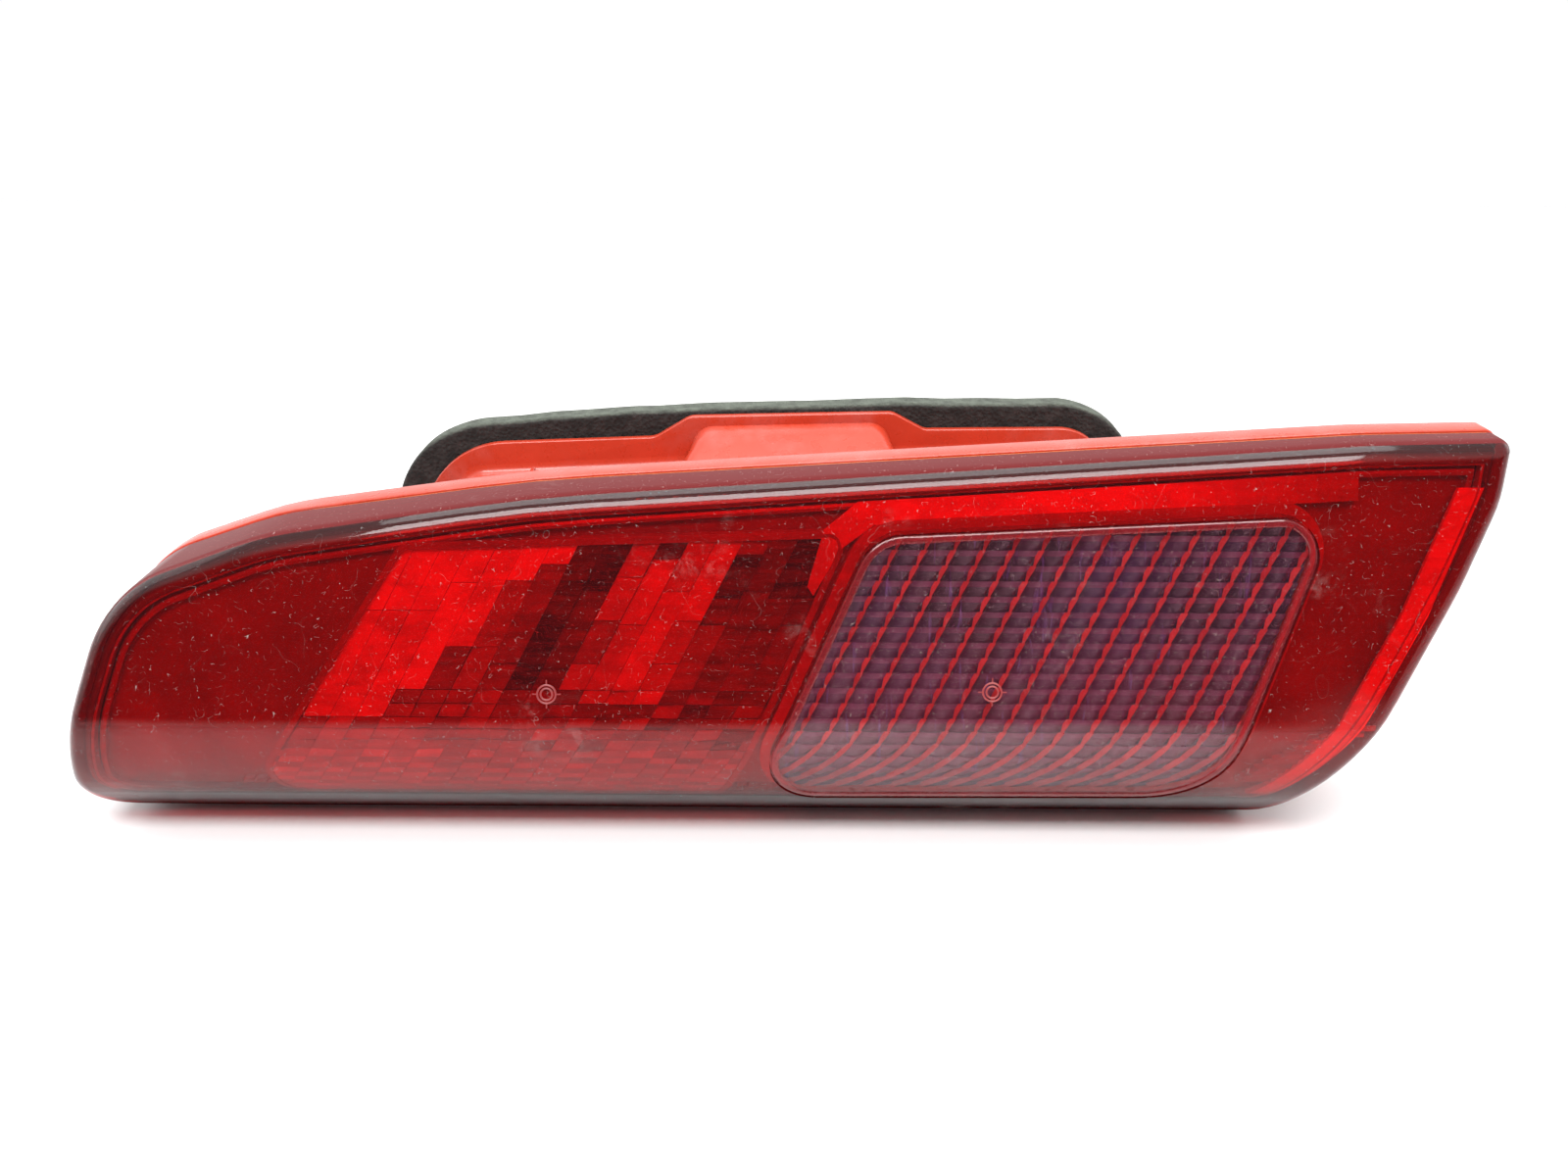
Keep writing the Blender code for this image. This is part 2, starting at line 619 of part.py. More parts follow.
def make_tracks(paint):
    """Three feeds and one earth, each from its bulb to its blade in the connector."""
    surface = paint["tin"]
    blade_y = (TRACK_Y, BLADE_BACK_Y)
    fog, tail, reversing = (x for _, x, _, _ in BULBS)
    above = LAMP_AXIS_Z + CUP_RADIUS + 0.0008

    parts = [strip((tail - 0.0018, BLADE_X[1] - 0.0001), TAIL_RUN_Z)]
    parts.append(strip((tail - 0.0019, tail + 0.0019), (above, 0.0530), THINNER_Y))
    parts += feed_contact(tail, 1)
    parts.append(box(BLADE_X, blade_y, (0.0476, 0.0524)))
    make_track("track_tail", parts, surface)

    parts = [strip((fog - 0.0018, RUN_X[1] - 0.0001), FOG_RUN_Z)]
    parts.append(strip((fog - 0.0019, fog + 0.0019), (above, 0.0560), THINNER_Y))
    parts += feed_contact(fog, 1)
    parts.append(strip(RUN_X, (0.0410, 0.0560), THINNER_Y))
    parts.append(strip((BLADE_X[0] + 0.0001, RUN_X[1] - 0.0002), (0.0404, 0.0436)))
    parts.append(box(BLADE_X, blade_y, (0.0396, 0.0444)))
    make_track("track_fog", parts, surface)

    parts = [strip((reversing - 0.0018, RUN_X[1] - 0.0001), REVERSING_RUN_Z)]
    below = LAMP_AXIS_Z - CUP_RADIUS - 0.0008
    parts.append(strip((reversing - 0.0019, reversing + 0.0019), (0.0270, below), THINNER_Y))
    parts += feed_contact(reversing, -1)
    parts.append(strip(RUN_X, (0.0270, 0.0350), THINNER_Y))
    parts.append(strip((BLADE_X[0] + 0.0001, RUN_X[1] - 0.0002), (0.0322, 0.0354)))
    parts.append(box(BLADE_X, blade_y, (0.0314, 0.0362)))
    make_track("track_reversing", parts, surface)

    parts = [strip((fog - 0.0095, BLADE_X[1] - 0.0001), EARTH_RUN_Z)]
    for x in (fog, tail, reversing):
        tab_x = (x - 0.0092, x - 0.0062)
        parts.append(strip(tab_x, (0.0220, 0.0296), THINNER_Y))
        parts.append(box((tab_x[0] + 0.0001, tab_x[1] - 0.0001), (TRACK_Y, PIN_Y + 0.002), (0.0290, 0.0298)))
    parts.append(box(BLADE_X, blade_y, (0.0208, 0.0252)))
    make_track("track_earth", parts, surface)


def make_connector(paint):
    """Rectangular shroud round the four blades, on feet at its two ends, with a key rib."""
    floor_y = TRACK_Y + TRACK_THICKNESS + GAP
    block = box(HEADER_X, (TRACK_Y, HEADER_BACK_Y), HEADER_Z)
    header = add_object("connector_header", block, paint["black_plastic"])
    inner_x = (HEADER_X[0] + HEADER_WALL, HEADER_X[1] - HEADER_WALL)
    inner_z = (HEADER_Z[0] + HEADER_WALL, HEADER_Z[1] - HEADER_WALL)
    combine(header, box(inner_x, (TRACK_Y - 0.001, HEADER_BACK_Y + 0.001), inner_z), "DIFFERENCE")
    under = (HEADER_X[0] - 0.001, HEADER_X[1] + 0.001)
    combine(header, box(under, (TRACK_Y - 0.002, floor_y), inner_z), "DIFFERENCE")
    key_x = (HEADER_X[1] - 0.0005, HEADER_X[1] + 0.0015)
    combine(header, box(key_x, (BELLY_Y + 0.062, HEADER_BACK_Y - 0.001), (0.0370, 0.0430)), "UNION")


def make_fasteners(paint):
    """Threaded studs set in the housing's bosses, each with its flange nut."""
    for number, (x, z) in enumerate(STUDS, 1):
        profile = [(0, REAR_WALL_Y + 0.0013), (STUD_RADIUS, REAR_WALL_Y + 0.0013)]
        profile += [(STUD_RADIUS, STUD_BACK_Y - 0.001), (STUD_RADIUS - 0.001, STUD_BACK_Y), (0, STUD_BACK_Y)]
        add_object(f"stud_{number}", turned(profile, x, z, 12), paint["zinc"])

        hexagon = NUT_ACROSS_FLATS / math.sqrt(3)
        flange_y = NUT_FRONT_Y + 0.0015
        body = cylinder(x, z, NUT_FLANGE_RADIUS, NUT_FRONT_Y, flange_y, 18)
        nut = add_object(f"flange_nut_{number}", body, paint["zinc"])
        prism_y = (flange_y - 0.0005, NUT_FRONT_Y + NUT_HEIGHT)
        combine(nut, cylinder(x, z, hexagon, *prism_y, 6), "UNION")
        bore_y = (NUT_FRONT_Y - 0.001, NUT_FRONT_Y + NUT_HEIGHT + 0.001)
        combine(nut, cylinder(x, z, STUD_RADIUS + GAP, *bore_y, 12), "DIFFERENCE")


def make_paint():
    return {
        "red_lens": material("red_lens", (0.55, 0.01, 0.01), 0.06, transmission=0.8),
        "violet_lens": material("violet_lens", (0.20, 0.05, 0.16), 0.06, transmission=0.7),
        "dark_red": material("dark_red", (0.25, 0.01, 0.01), 0.35),
        "orange_bead": material("orange_bead", (0.80, 0.20, 0.03), 0.40),
        "red_body": material("red_body", (0.70, 0.04, 0.02), 0.35),
        "reflector": material("reflector", (0.90, 0.90, 0.90), 0.08, metallic=1.0),
        "black_foam": material("black_foam", (0.02, 0.02, 0.02), 0.95),
        "rubber": material("rubber", (0.03, 0.03, 0.03), 0.80),
        "grey_plastic": material("grey_plastic", (0.35, 0.35, 0.36), 0.50),
        "black_plastic": material("black_plastic", (0.02, 0.02, 0.02), 0.50),
        "brass": material("brass", (0.80, 0.65, 0.35), 0.30, metallic=1.0),
        "glass": material("glass", (0.95, 0.95, 0.95), 0.02, transmission=1.0),
        "insulator": material("insulator", (0.05, 0.05, 0.06), 0.25),
        "tungsten": material("tungsten", (0.50, 0.50, 0.52), 0.30, metallic=1.0),
        "tin": material("tin", (0.75, 0.74, 0.70), 0.30, metallic=1.0),
        "zinc": material("zinc", (0.70, 0.72, 0.75), 0.35, metallic=1.0),
    }


def main():
    clear_scene()
    paint = make_paint()
    make_lens_group(paint)
    make_housing(paint)
    bulbs = {name: (x, radius) for name, x, radius, _ in BULBS}
    left_rim = ((-0.0890, -0.0055), (0.0150, 0.0680))
    right_rim = ((-0.0010, 0.0750), (0.0150, 0.0720))
    throat_radius = 0.0150
    tail_hole = (bulbs["tail"][0], bulbs["tail"][1] + 0.0020)
    silver = paint["reflector"]
    make_reflector("reflector_left", left_rim, (bulbs["fog"][0], throat_radius), silver, tail_hole)
    make_reflector("reflector_right", right_rim, (bulbs["reversing"][0], throat_radius), silver)
    make_seals(paint)
    make_carrier(paint)
    make_latch_arm("latch_arm_left", -1, paint["grey_plastic"])
    make_latch_arm("latch_arm_right", 1, paint["grey_plastic"])
    for name, x, radius, length in BULBS:
        make_bulb(name, x, radius, length, paint)
    make_tracks(paint)
    make_connector(paint)
    make_fasteners(paint)


main()
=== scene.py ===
"""Boot-lid rear lamp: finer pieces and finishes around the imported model, on a pale studio floor."""
import json
import math
import random

import bmesh
import bpy
from mathutils import Matrix, Vector

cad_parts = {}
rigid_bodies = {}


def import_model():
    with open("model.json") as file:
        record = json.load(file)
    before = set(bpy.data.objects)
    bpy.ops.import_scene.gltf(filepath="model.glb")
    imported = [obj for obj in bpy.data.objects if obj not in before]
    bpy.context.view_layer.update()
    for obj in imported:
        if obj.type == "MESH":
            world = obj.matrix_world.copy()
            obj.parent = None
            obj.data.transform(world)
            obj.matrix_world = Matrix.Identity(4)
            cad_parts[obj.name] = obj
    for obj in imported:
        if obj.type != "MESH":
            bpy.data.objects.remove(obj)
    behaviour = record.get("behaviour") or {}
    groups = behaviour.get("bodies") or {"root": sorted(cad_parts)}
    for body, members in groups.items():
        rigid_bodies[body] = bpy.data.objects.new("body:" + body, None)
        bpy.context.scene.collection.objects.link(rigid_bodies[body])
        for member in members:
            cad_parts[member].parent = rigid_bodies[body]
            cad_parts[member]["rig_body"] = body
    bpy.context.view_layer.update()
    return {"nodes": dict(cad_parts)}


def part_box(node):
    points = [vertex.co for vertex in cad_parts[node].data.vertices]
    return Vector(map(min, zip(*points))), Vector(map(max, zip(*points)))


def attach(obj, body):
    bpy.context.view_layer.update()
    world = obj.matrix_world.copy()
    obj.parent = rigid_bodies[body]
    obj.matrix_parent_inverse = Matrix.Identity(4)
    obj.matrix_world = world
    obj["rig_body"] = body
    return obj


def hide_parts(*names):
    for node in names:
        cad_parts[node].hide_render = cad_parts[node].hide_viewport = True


# Lens section, in metres: a face that leans back, rolled under to the bottom
DEPTH = 0.112
GAP = 0.0003
LEAN = math.radians(20)
ROLL = 0.027
ROLL_Y = ROLL - DEPTH / 2
ROLL_END = ROLL * (math.pi / 2 + LEAN)
LENS_WALL = 0.0026
LENS_EDGE = 0.0042
LENS_BACK_Y = ROLL_Y + 0.006

# Outlines seen from the front: x, z and corner radius, anticlockwise from the lower left
LENS = (
    (-0.1768, 0.0036, 0.014), (-0.1380, 0.0, 0.150), (0.1215, 0.0, 0.008), (0.1470, 0.0360, 0.080),
    (0.1628, 0.0650, 0.090), (0.1716, 0.0850, 0.030), (0.1738, 0.0988, 0.0025), (0.1400, 0.0980, 0.200),
    (-0.0600, 0.0854, 0.400), (-0.1235, 0.0764, 0.080), (-0.1614, 0.0634, 0.031), (-0.1706, 0.0360, 0.066),
)
WINDOW = (
    (-0.0090, 0.0125, 0.012), (0.1050, 0.0135, 0.024), (0.1325, 0.0828, 0.009), (0.0222, 0.0776, 0.012),
)
NECK = ((-0.092, 0.012, 0.010), (0.078, 0.012, 0.010), (0.078, 0.0800, 0.010), (-0.092, 0.0712, 0.010))
REAR_FLANGE = (
    (-0.1020, 0.008, 0.012), (0.0915, 0.008, 0.012), (0.0915, 0.0860, 0.014), (0.0400, 0.0854, 0.004),
    (0.0310, 0.0902, 0.005), (-0.0250, 0.0888, 0.006), (-0.0350, 0.0828, 0.006), (-0.1020, 0.0800, 0.026),
)
SEAL = (
    (-0.1105, 0.0, 0.014), (0.101, 0.0, 0.014), (0.101, 0.0922, 0.024),
    (0.030, 0.0922, 0.300), (-0.040, 0.0896, 0.200), (-0.1105, 0.0836, 0.030),
)

STEP = math.radians(5)
random.seed(11)

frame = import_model()


# ---------------------------------------------------------------- shapes
def inset_corners(corners, distance):
    """The same outline moved inwards, its corner radii shrunk to match."""
    moved = []
    for i, (x, z, radius) in enumerate(corners):
        here = Vector((x, z))
        along_in = (here - Vector(corners[i - 1][:2])).normalized()
        along_out = (Vector(corners[(i + 1) % len(corners)][:2]) - here).normalized()
        normal_in = Vector((-along_in.y, along_in.x))
        normal_out = Vector((-along_out.y, along_out.x))
        at = here + distance * (normal_in + normal_out) / (1 + normal_in.dot(normal_out))
        kept = radius - distance if along_in.cross(along_out) > 0 else radius + distance
        moved.append((at.x, at.y, max(kept, 0.0003)))
    return moved


def outline_of(corners, distance=0.0, step=STEP):
    """Points (x, z) along a rounded outline, moved inwards by a distance."""
    corners = inset_corners(corners, distance)
    points = []
    for i, (x, z, radius) in enumerate(corners):
        here = Vector((x, z))
        back = (Vector(corners[i - 1][:2]) - here).normalized()
        on = (Vector(corners[(i + 1) % len(corners)][:2]) - here).normalized()
        turn = math.pi - back.angle(on)
        centre = here + (back + on).normalized() * radius / math.cos(turn / 2)
        spoke = here + back * radius * math.tan(turn / 2) - centre
        way = 1 if on.cross(back) > 0 else -1
        steps = max(2, math.ceil(turn / step - 0.01))
        for k in range(steps + 1):
            points.append(centre + Matrix.Rotation(way * turn * k / steps, 2) @ spoke)
    return [(p.x, p.y) for p in points]


def face_y(z, depth):
    """y of the surface this deep behind the lens's outer face, at a height."""
    radius = ROLL - depth
    tangent_z = ROLL + radius * math.sin(LEAN)
    if z >= tangent_z:
        return ROLL_Y - radius * math.cos(LEAN) + (z - tangent_z) * math.tan(LEAN)
    return ROLL_Y - math.sqrt(max(radius**2 - (z - ROLL) ** 2, 0.0))


def on_face(x, s, depth):
    """The point a distance s along the lens's section, from the underside up, and this deep behind it."""
    radius = ROLL - depth
    if s <= ROLL_END:
        angle = s / ROLL
        return Vector((x, ROLL_Y - radius * math.sin(angle), ROLL - radius * math.cos(angle)))
    y = ROLL_Y - radius * math.cos(LEAN) + (s - ROLL_END) * math.sin(LEAN)
    return Vector((x, y, ROLL + radius * math.sin(LEAN) + (s - ROLL_END) * math.cos(LEAN)))


def roll_levels(depth, step=math.radians(5)):
    radius = ROLL - depth
    steps = round((math.pi / 2 + LEAN) / step)
    return [ROLL - radius * math.cos(k * step) for k in range(1, steps + 1)]


def divide_at(bm, levels):
    for level in levels:
        geometry = bm.verts[:] + bm.edges[:] + bm.faces[:]
        bmesh.ops.bisect_plane(bm, geom=geometry, plane_co=(0, 0, level), plane_no=(0, 0, 1))


def clip_to(bm, corners, distance=0.0):
    """Cuts away whatever lies outside a convex outline."""
    points = outline_of(corners, distance, math.radians(12))
    for (ax, az), (bx, bz) in zip(points, points[1:] + points[:1]):
        if math.hypot(bx - ax, bz - az) < 1e-6:
            continue
        geometry = bm.verts[:] + bm.edges[:] + bm.faces[:]
        normal = (bz - az, 0, ax - bx)
        bmesh.ops.bisect_plane(bm, geom=geometry, plane_co=(ax, 0, az), plane_no=normal, clear_outer=True)


def stack(loops, closed=False):
    """A solid through equal loops of points: capped at both ends, or joined into a ring."""
    bm = bmesh.new()
    rows = [[bm.verts.new(point) for point in loop] for loop in loops]
    pairs = list(zip(rows, rows[1:]))
    if closed:
        pairs.append((rows[-1], rows[0]))
    else:
        bm.faces.new(rows[0])
        bm.faces.new(rows[-1])
    for near, far in pairs:
        for i in range(len(near)):
            bm.faces.new((near[i - 1], near[i], far[i], far[i - 1]))
    return bm


def prism(corners, y_front, y_back, distance=0.0, edge=0.0, steps=3):
    """A straight-sided solid, with both its edges rounded if edge is over zero."""
    levels = [(distance, y_front), (distance, y_back)]
    if edge:
        turns = [math.pi / 2 * k / steps for k in range(steps + 1)]
        front = [(distance + edge * (1 - math.sin(a)), y_front + edge * (1 - math.cos(a))) for a in turns]
        back = [(d, y_back - (y - y_front)) for d, y in reversed(front)]
        levels = front + back
    return stack([[(x, y, z) for x, z in outline_of(corners, inset)] for inset, y in levels])


def body_behind(corners, depth, edge, back_y, steps=6):
    """A solid whose front follows the lens's face, with a rounded front edge and a flat back."""
    back = 1.0
    loops = [[(x, back, z) for x, z in outline_of(corners, depth)]]
    for k in range(steps + 1):
        angle = math.pi / 2 * k / steps
        inwards = depth + edge * (1 - math.cos(angle))
        loops.append([(x, edge * (1 - math.sin(angle)), z) for x, z in outline_of(corners, inwards)])
    bm = stack(loops)
    divide_at(bm, roll_levels(depth))
    for vert in bm.verts:
        vert.co.y = back_y if vert.co.y > back / 2 else face_y(vert.co.z, depth) + vert.co.y
    return bm


def sheet(corners, distance, skin):
    """A sheet between two depths behind the lens's face."""
    front, back = skin
    bm = prism(corners, 0.0, 1.0, distance)
    divide_at(bm, roll_levels(front))
    for vert in bm.verts:
        vert.co.y = face_y(vert.co.z, back if vert.co.y > 0.5 else front)
    return bm


def rim_along(corners, section):
    """A ring that follows the lens's face along an outline. section holds (distance inwards, depth)."""
    loops = []
    for distance, depth in section:
        points = outline_of(corners, distance, math.radians(3))
        fine = []
        for (ax, az), (bx, bz) in zip(points, points[1:] + points[:1]):
            count = max(1, round(math.hypot(bx - ax, bz - az) / 0.0015))
            fine += [(ax + (bx - ax) * k / count, az + (bz - az) * k / count) for k in range(count)]
        loops.append([(x, z, depth) for x, z in fine])
    count = len(loops[0])
    rows = []
    for loop in loops:
        share = [loop[round(k * len(loop) / count) % len(loop)] for k in range(count)]
        rows.append([(x, face_y(z, depth), z) for x, z, depth in share])
    return stack(rows, closed=True)


def turned(profile, x, z, segments=48, start=0.0):
    """A solid turned about an axis along Y, from a closed profile of (radius, y)."""
    rings = []
    for radius, y in profile:
        angles = [start + 2 * math.pi * i / segments for i in range(segments)]
        rings.append([(x + radius * math.cos(a), y, z + radius * math.sin(a)) for a in angles])
    bm = stack(rings, closed=profile[0][0] > 0 and profile[-1][0] > 0)
    bmesh.ops.remove_doubles(bm, verts=bm.verts, dist=1e-7)
    loose = [edge for edge in bm.edges if not edge.link_faces]
    bmesh.ops.delete(bm, geom=loose, context="EDGES")
    return bm


def box(x, y, z):
    bm = bmesh.new()
    bmesh.ops.create_cube(bm, size=1.0)
    for vert in bm.verts:
        sides = zip(vert.co, (x, y, z))
        vert.co = Vector([low + (side + 0.5) * (high - low) for side, (low, high) in sides])
    return bm


def joined(*parts):
    whole = bmesh.new()
    for part in parts:
        mesh = bpy.data.meshes.new("part")
        part.to_mesh(mesh)
        part.free()
        whole.from_mesh(mesh)
        bpy.data.meshes.remove(mesh)
    return whole


def new_object(name, bm, surface=None, sharp=35, solid=True):
    if solid:
        bmesh.ops.remove_doubles(bm, verts=bm.verts, dist=1e-6)
        bmesh.ops.recalc_face_normals(bm, faces=bm.faces)
        if bm.calc_volume(signed=True) < 0:
            bmesh.ops.reverse_faces(bm, faces=bm.faces)
    mesh = bpy.data.meshes.new(name)
    bm.to_mesh(mesh)
    bm.free()
    made = bpy.data.objects.new(name, mesh)
    bpy.context.collection.objects.link(made)
    if surface:
        mesh.materials.append(surface)
    mesh.shade_smooth()
    mesh.set_sharp_from_angle(angle=math.radians(sharp))
    return made


def apply_all(piece):
    """Bakes a piece's modifiers into its mesh."""
    graph = bpy.context.evaluated_depsgraph_get()
    mesh = bpy.data.meshes.new_from_object(piece.evaluated_get(graph))
    piece.modifiers.clear()
    piece.data = mesh
    mesh.shade_smooth()
    mesh.set_sharp_from_angle(angle=math.radians(35))


def cut(piece, *cutters, operation="DIFFERENCE"):
    made = []
    for bm in cutters:
        cutter = new_object(piece.name + "_cut", bm)
        step = piece.modifiers.new("cut", "BOOLEAN")
        step.operation = operation
        step.solver = "EXACT"
        step.object = cutter
        made.append(cutter)
    apply_all(piece)
    for cutter in made:
        bpy.data.objects.remove(cutter)


def soften(piece, width, segments=2, angle=40):
    step = piece.modifiers.new("edge", "BEVEL")
    step.width = width
    step.segments = segments
    step.limit_method = "ANGLE"
    step.angle_limit = math.radians(angle)
    step.harden_normals = False
    apply_all(piece)


def place(piece, slot, *nodes, body="lamp"):
    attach(piece, body)
    if nodes:
        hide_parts(*nodes)
    return piece


def placed(name, bm, surface, slot, *nodes, **more):
    return place(new_object(name, bm, surface, **more), slot, *nodes)


# ---------------------------------------------------------------- finishes
class Finish:
    """A material with its node tree, and short ways to add nodes to it."""

    def __init__(self, name):
        self.material = bpy.data.materials.new(name)
        self.material.use_nodes = True
        self.tree = self.material.node_tree
        self.base = self.tree.nodes["Principled BSDF"]
        self.out = self.tree.nodes["Material Output"]
        self.where = self.add("ShaderNodeTexCoord").outputs["Object"]

    def add(self, kind, inputs=None, **settings):
        made = self.tree.nodes.new(kind)
        for key, value in settings.items():
            setattr(made, key, value)
        for key, value in (inputs or {}).items():
            self.put(made.inputs[key], value)
        return made

    def put(self, socket, value):
        if isinstance(value, bpy.types.NodeSocket):
            self.tree.links.new(value, socket)
        elif isinstance(value, tuple) and len(value) == 3 and socket.type == "RGBA":
            socket.default_value = (*value, 1.0)
        else:
            socket.default_value = value

    def set(self, **inputs):
        for key, value in inputs.items():
            self.put(self.base.inputs[key.replace("_", " ")], value)

    def stretched(self, scale):
        return self.add("ShaderNodeMapping", {"Vector": self.where, "Scale": scale}).outputs["Vector"]

    def noise(self, scale, detail=4.0, roughness=0.55, where=None, distortion=0.0):
        inputs = {"Vector": where or self.where, "Scale": scale, "Detail": detail}
        inputs.update({"Roughness": roughness, "Distortion": distortion})
        return self.add("ShaderNodeTexNoise", inputs).outputs["Fac"]

    def cells(self, scale, output="Distance", where=None):
        inputs = {"Vector": where or self.where, "Scale": scale}
        return self.add("ShaderNodeTexVoronoi", inputs).outputs[output]

    def range(self, value, low, high, to_low=0.0, to_high=1.0):
        inputs = {"Value": value, "From Min": low, "From Max": high, "To Min": to_low, "To Max": to_high}
        return self.add("ShaderNodeMapRange", inputs).outputs["Result"]

    def math(self, operation, a, b=0.0):
        return self.add("ShaderNodeMath", {0: a, 1: b}, operation=operation).outputs[0]

    def blend(self, share, a, b, how="MIX"):
        made = self.add("ShaderNodeMix", data_type="RGBA", blend_type=how)
        for index, value in ((0, share), (6, a), (7, b)):
            self.put(made.inputs[index], value)
        return made.outputs[2]

    def bump(self, height, distance, strength=1.0):
        inputs = {"Height": height, "Distance": distance, "Strength": strength}
        return self.add("ShaderNodeBump", inputs).outputs["Normal"]

    def mark(self, name):
        return self.add("ShaderNodeAttribute", attribute_name=name).outputs["Fac"]

    def grime(self, low=0.52, high=0.75, scale=38.0):
        """Where dust settles: soft cloudy patches."""
        return self.range(self.noise(scale, 6.0, 0.62, distortion=0.4), low, high)

    def specks(self, scale, reach, share):
        """Small grains of dust, one in a share of the cells."""
        near = self.range(self.cells(scale), 0.0, reach, 1.0, 0.0)
        picked = self.math("GREATER_THAN", self.cells(scale, "Color"), 1.0 - share)
        return self.math("MULTIPLY", near, picked)

    def fibres(self, scale, width, keep):
        """Short curved lint: thin contour lines of a noise, broken up by another."""
        line = self.math("ABSOLUTE", self.math("SUBTRACT", self.noise(scale, 1.0, 0.4), 0.5))
        line = self.range(line, 0.0, width, 1.0, 0.0)
        broken = self.range(self.noise(scale * 1.7, 1.0), keep, keep + 0.02)
        return self.math("MULTIPLY", line, broken)


def solid(name, colour, roughness, metallic=0.0, vary=0.25, dust=0.0, bump=0.00003, grain=900.0, **more):
    """A finish with mottled colour, uneven roughness, fine grain and optional dust."""
    made = Finish(name)
    dark = tuple(c * (1 - vary) for c in colour)
    light = tuple(min(1.0, c * (1 + vary * 0.6)) for c in colour)
    tone = made.blend(made.range(made.noise(60.0, 6.0), 0.35, 0.65), dark, light)
    if dust:
        pale = tuple(0.35 + 0.35 * c for c in colour)
        tone = made.blend(made.math("MULTIPLY", made.grime(), dust), tone, pale)
        grains = made.math("MULTIPLY", made.specks(700.0, 0.16, 0.12), min(1.0, dust * 3))
        tone = made.blend(grains, tone, pale)
    made.set(Base_Color=tone, Metallic=metallic)
    rough = (roughness * 0.85, min(1.0, roughness * 1.2))
    made.set(Roughness=made.range(made.noise(240.0, 3.0), 0.3, 0.7, *rough))
    made.set(Normal=made.bump(made.noise(grain, 2.0), bump))
    for key, value in more.items():
        made.put(made.base.inputs[key.replace("_", " ")], value)
    return made.material


def lens_skin(name, tint, veil, veil_share, haze=0.42, shine=0.75):
    """Clear coloured plastic: a tinted see-through body with a polished face, dust, lint and haze on it."""
    made = Finish(name)
    made.tree.nodes.remove(made.base)
    spots = made.range(made.noise(26.0, 3.0, 0.6), 0.60, 0.78)
    cloud = made.range(made.noise(210.0, 5.0, 0.7, distortion=1.2), 0.48, 0.72)
    cloud = made.math("MULTIPLY", spots, cloud)
    dust = made.math("MAXIMUM", made.specks(900.0, 0.13, 0.22), made.math("MULTIPLY", cloud, haze))
    dust = made.math("MAXIMUM", dust, made.specks(420.0, 0.06, 0.10))
    lint = made.math("MULTIPLY", made.fibres(460.0, 0.0055, 0.58), 0.6)
    dust = made.math("MAXIMUM", dust, lint)
    scratch = made.fibres(90.0, 0.0007, 0.50)
    dust = made.math("MAXIMUM", dust, made.math("MULTIPLY", scratch, 0.35))
    normal = made.bump(made.noise(70.0, 2.0), 0.00006)
    smear = made.noise(45.0, 5.0, 0.6, where=made.stretched((1.0, 1.0, 3.0)))
    smear = made.range(smear, 0.3, 0.8, 0.03, 0.09)
    deep = tuple(c ** 6 * 0.45 for c in tint)
    facing = made.add("ShaderNodeLayerWeight", {"Blend": 0.5, "Normal": normal}).outputs["Facing"]
    through = made.blend(made.math("POWER", facing, 1.7), tint, deep)
    clear = made.add("ShaderNodeBsdfTransparent", {"Color": through}).outputs[0]
    body = made.add("ShaderNodeBsdfDiffuse", {"Color": veil}).outputs[0]
    tinted = made.add("ShaderNodeMixShader", {0: veil_share, 1: clear, 2: body}).outputs[0]
    powder = made.add("ShaderNodeBsdfDiffuse", {"Color": (0.62, 0.46, 0.44)}).outputs[0]
    cover = made.math("MULTIPLY", dust, 0.8)
    dusty = made.add("ShaderNodeMixShader", {0: cover, 1: tinted, 2: powder}).outputs[0]
    polish = {"Color": (1.0, 1.0, 1.0), "Roughness": smear, "Normal": normal}
    gloss = made.add("ShaderNodeBsdfGlossy", polish).outputs[0]
    height = made.add("ShaderNodeSeparateXYZ", {0: made.where}).outputs["Z"]
    mirror = made.math("ADD", made.math("MULTIPLY", made.math("POWER", facing, 4.0), shine), 0.036)
    # Painted shade: the reflection fades out over the lowest 13 mm of the lens, standing in for the lamp's
    # own shadow on the floor reflected there.
    mirror = made.math("MULTIPLY", mirror, made.range(height, 0.0065, 0.0130, 0.05, 1.0))
    whole = made.add("ShaderNodeMixShader", {0: mirror, 1: dusty, 2: gloss}).outputs[0]
    made.tree.links.new(whole, made.out.inputs["Surface"])
    return made.material


def optic_red(name, dark, bright, roughness=0.22):
    """Red prism plastic whose brightness follows each facet's tone attribute, which carries painted light
    for the mosaic and the window ridges.
    """
    made = Finish(name)
    tone = made.mark("tone")
    streak = made.noise(60.0, 4.0, 0.6, where=made.stretched((1.0, 1.0, 9.0)))
    tone = made.math("ADD", tone, made.range(streak, 0.3, 0.7, -0.09, 0.09))
    patch = made.noise(95.0, 5.0, 0.65, where=made.stretched((1.0, 1.0, 1.8)), distortion=0.6)
    tone = made.math("MULTIPLY", tone, made.range(patch, 0.35, 0.65, 0.72, 1.12))
    made.set(Base_Color=made.blend(tone, dark, bright))
    made.set(Roughness=made.range(made.noise(300.0, 2.0), 0.3, 0.7, roughness * 0.8, roughness * 1.3))
    made.set(Normal=made.bump(made.noise(500.0, 2.0), 0.00004))
    made.set(Coat_Weight=0.5, Coat_Roughness=0.08)
    return made.material


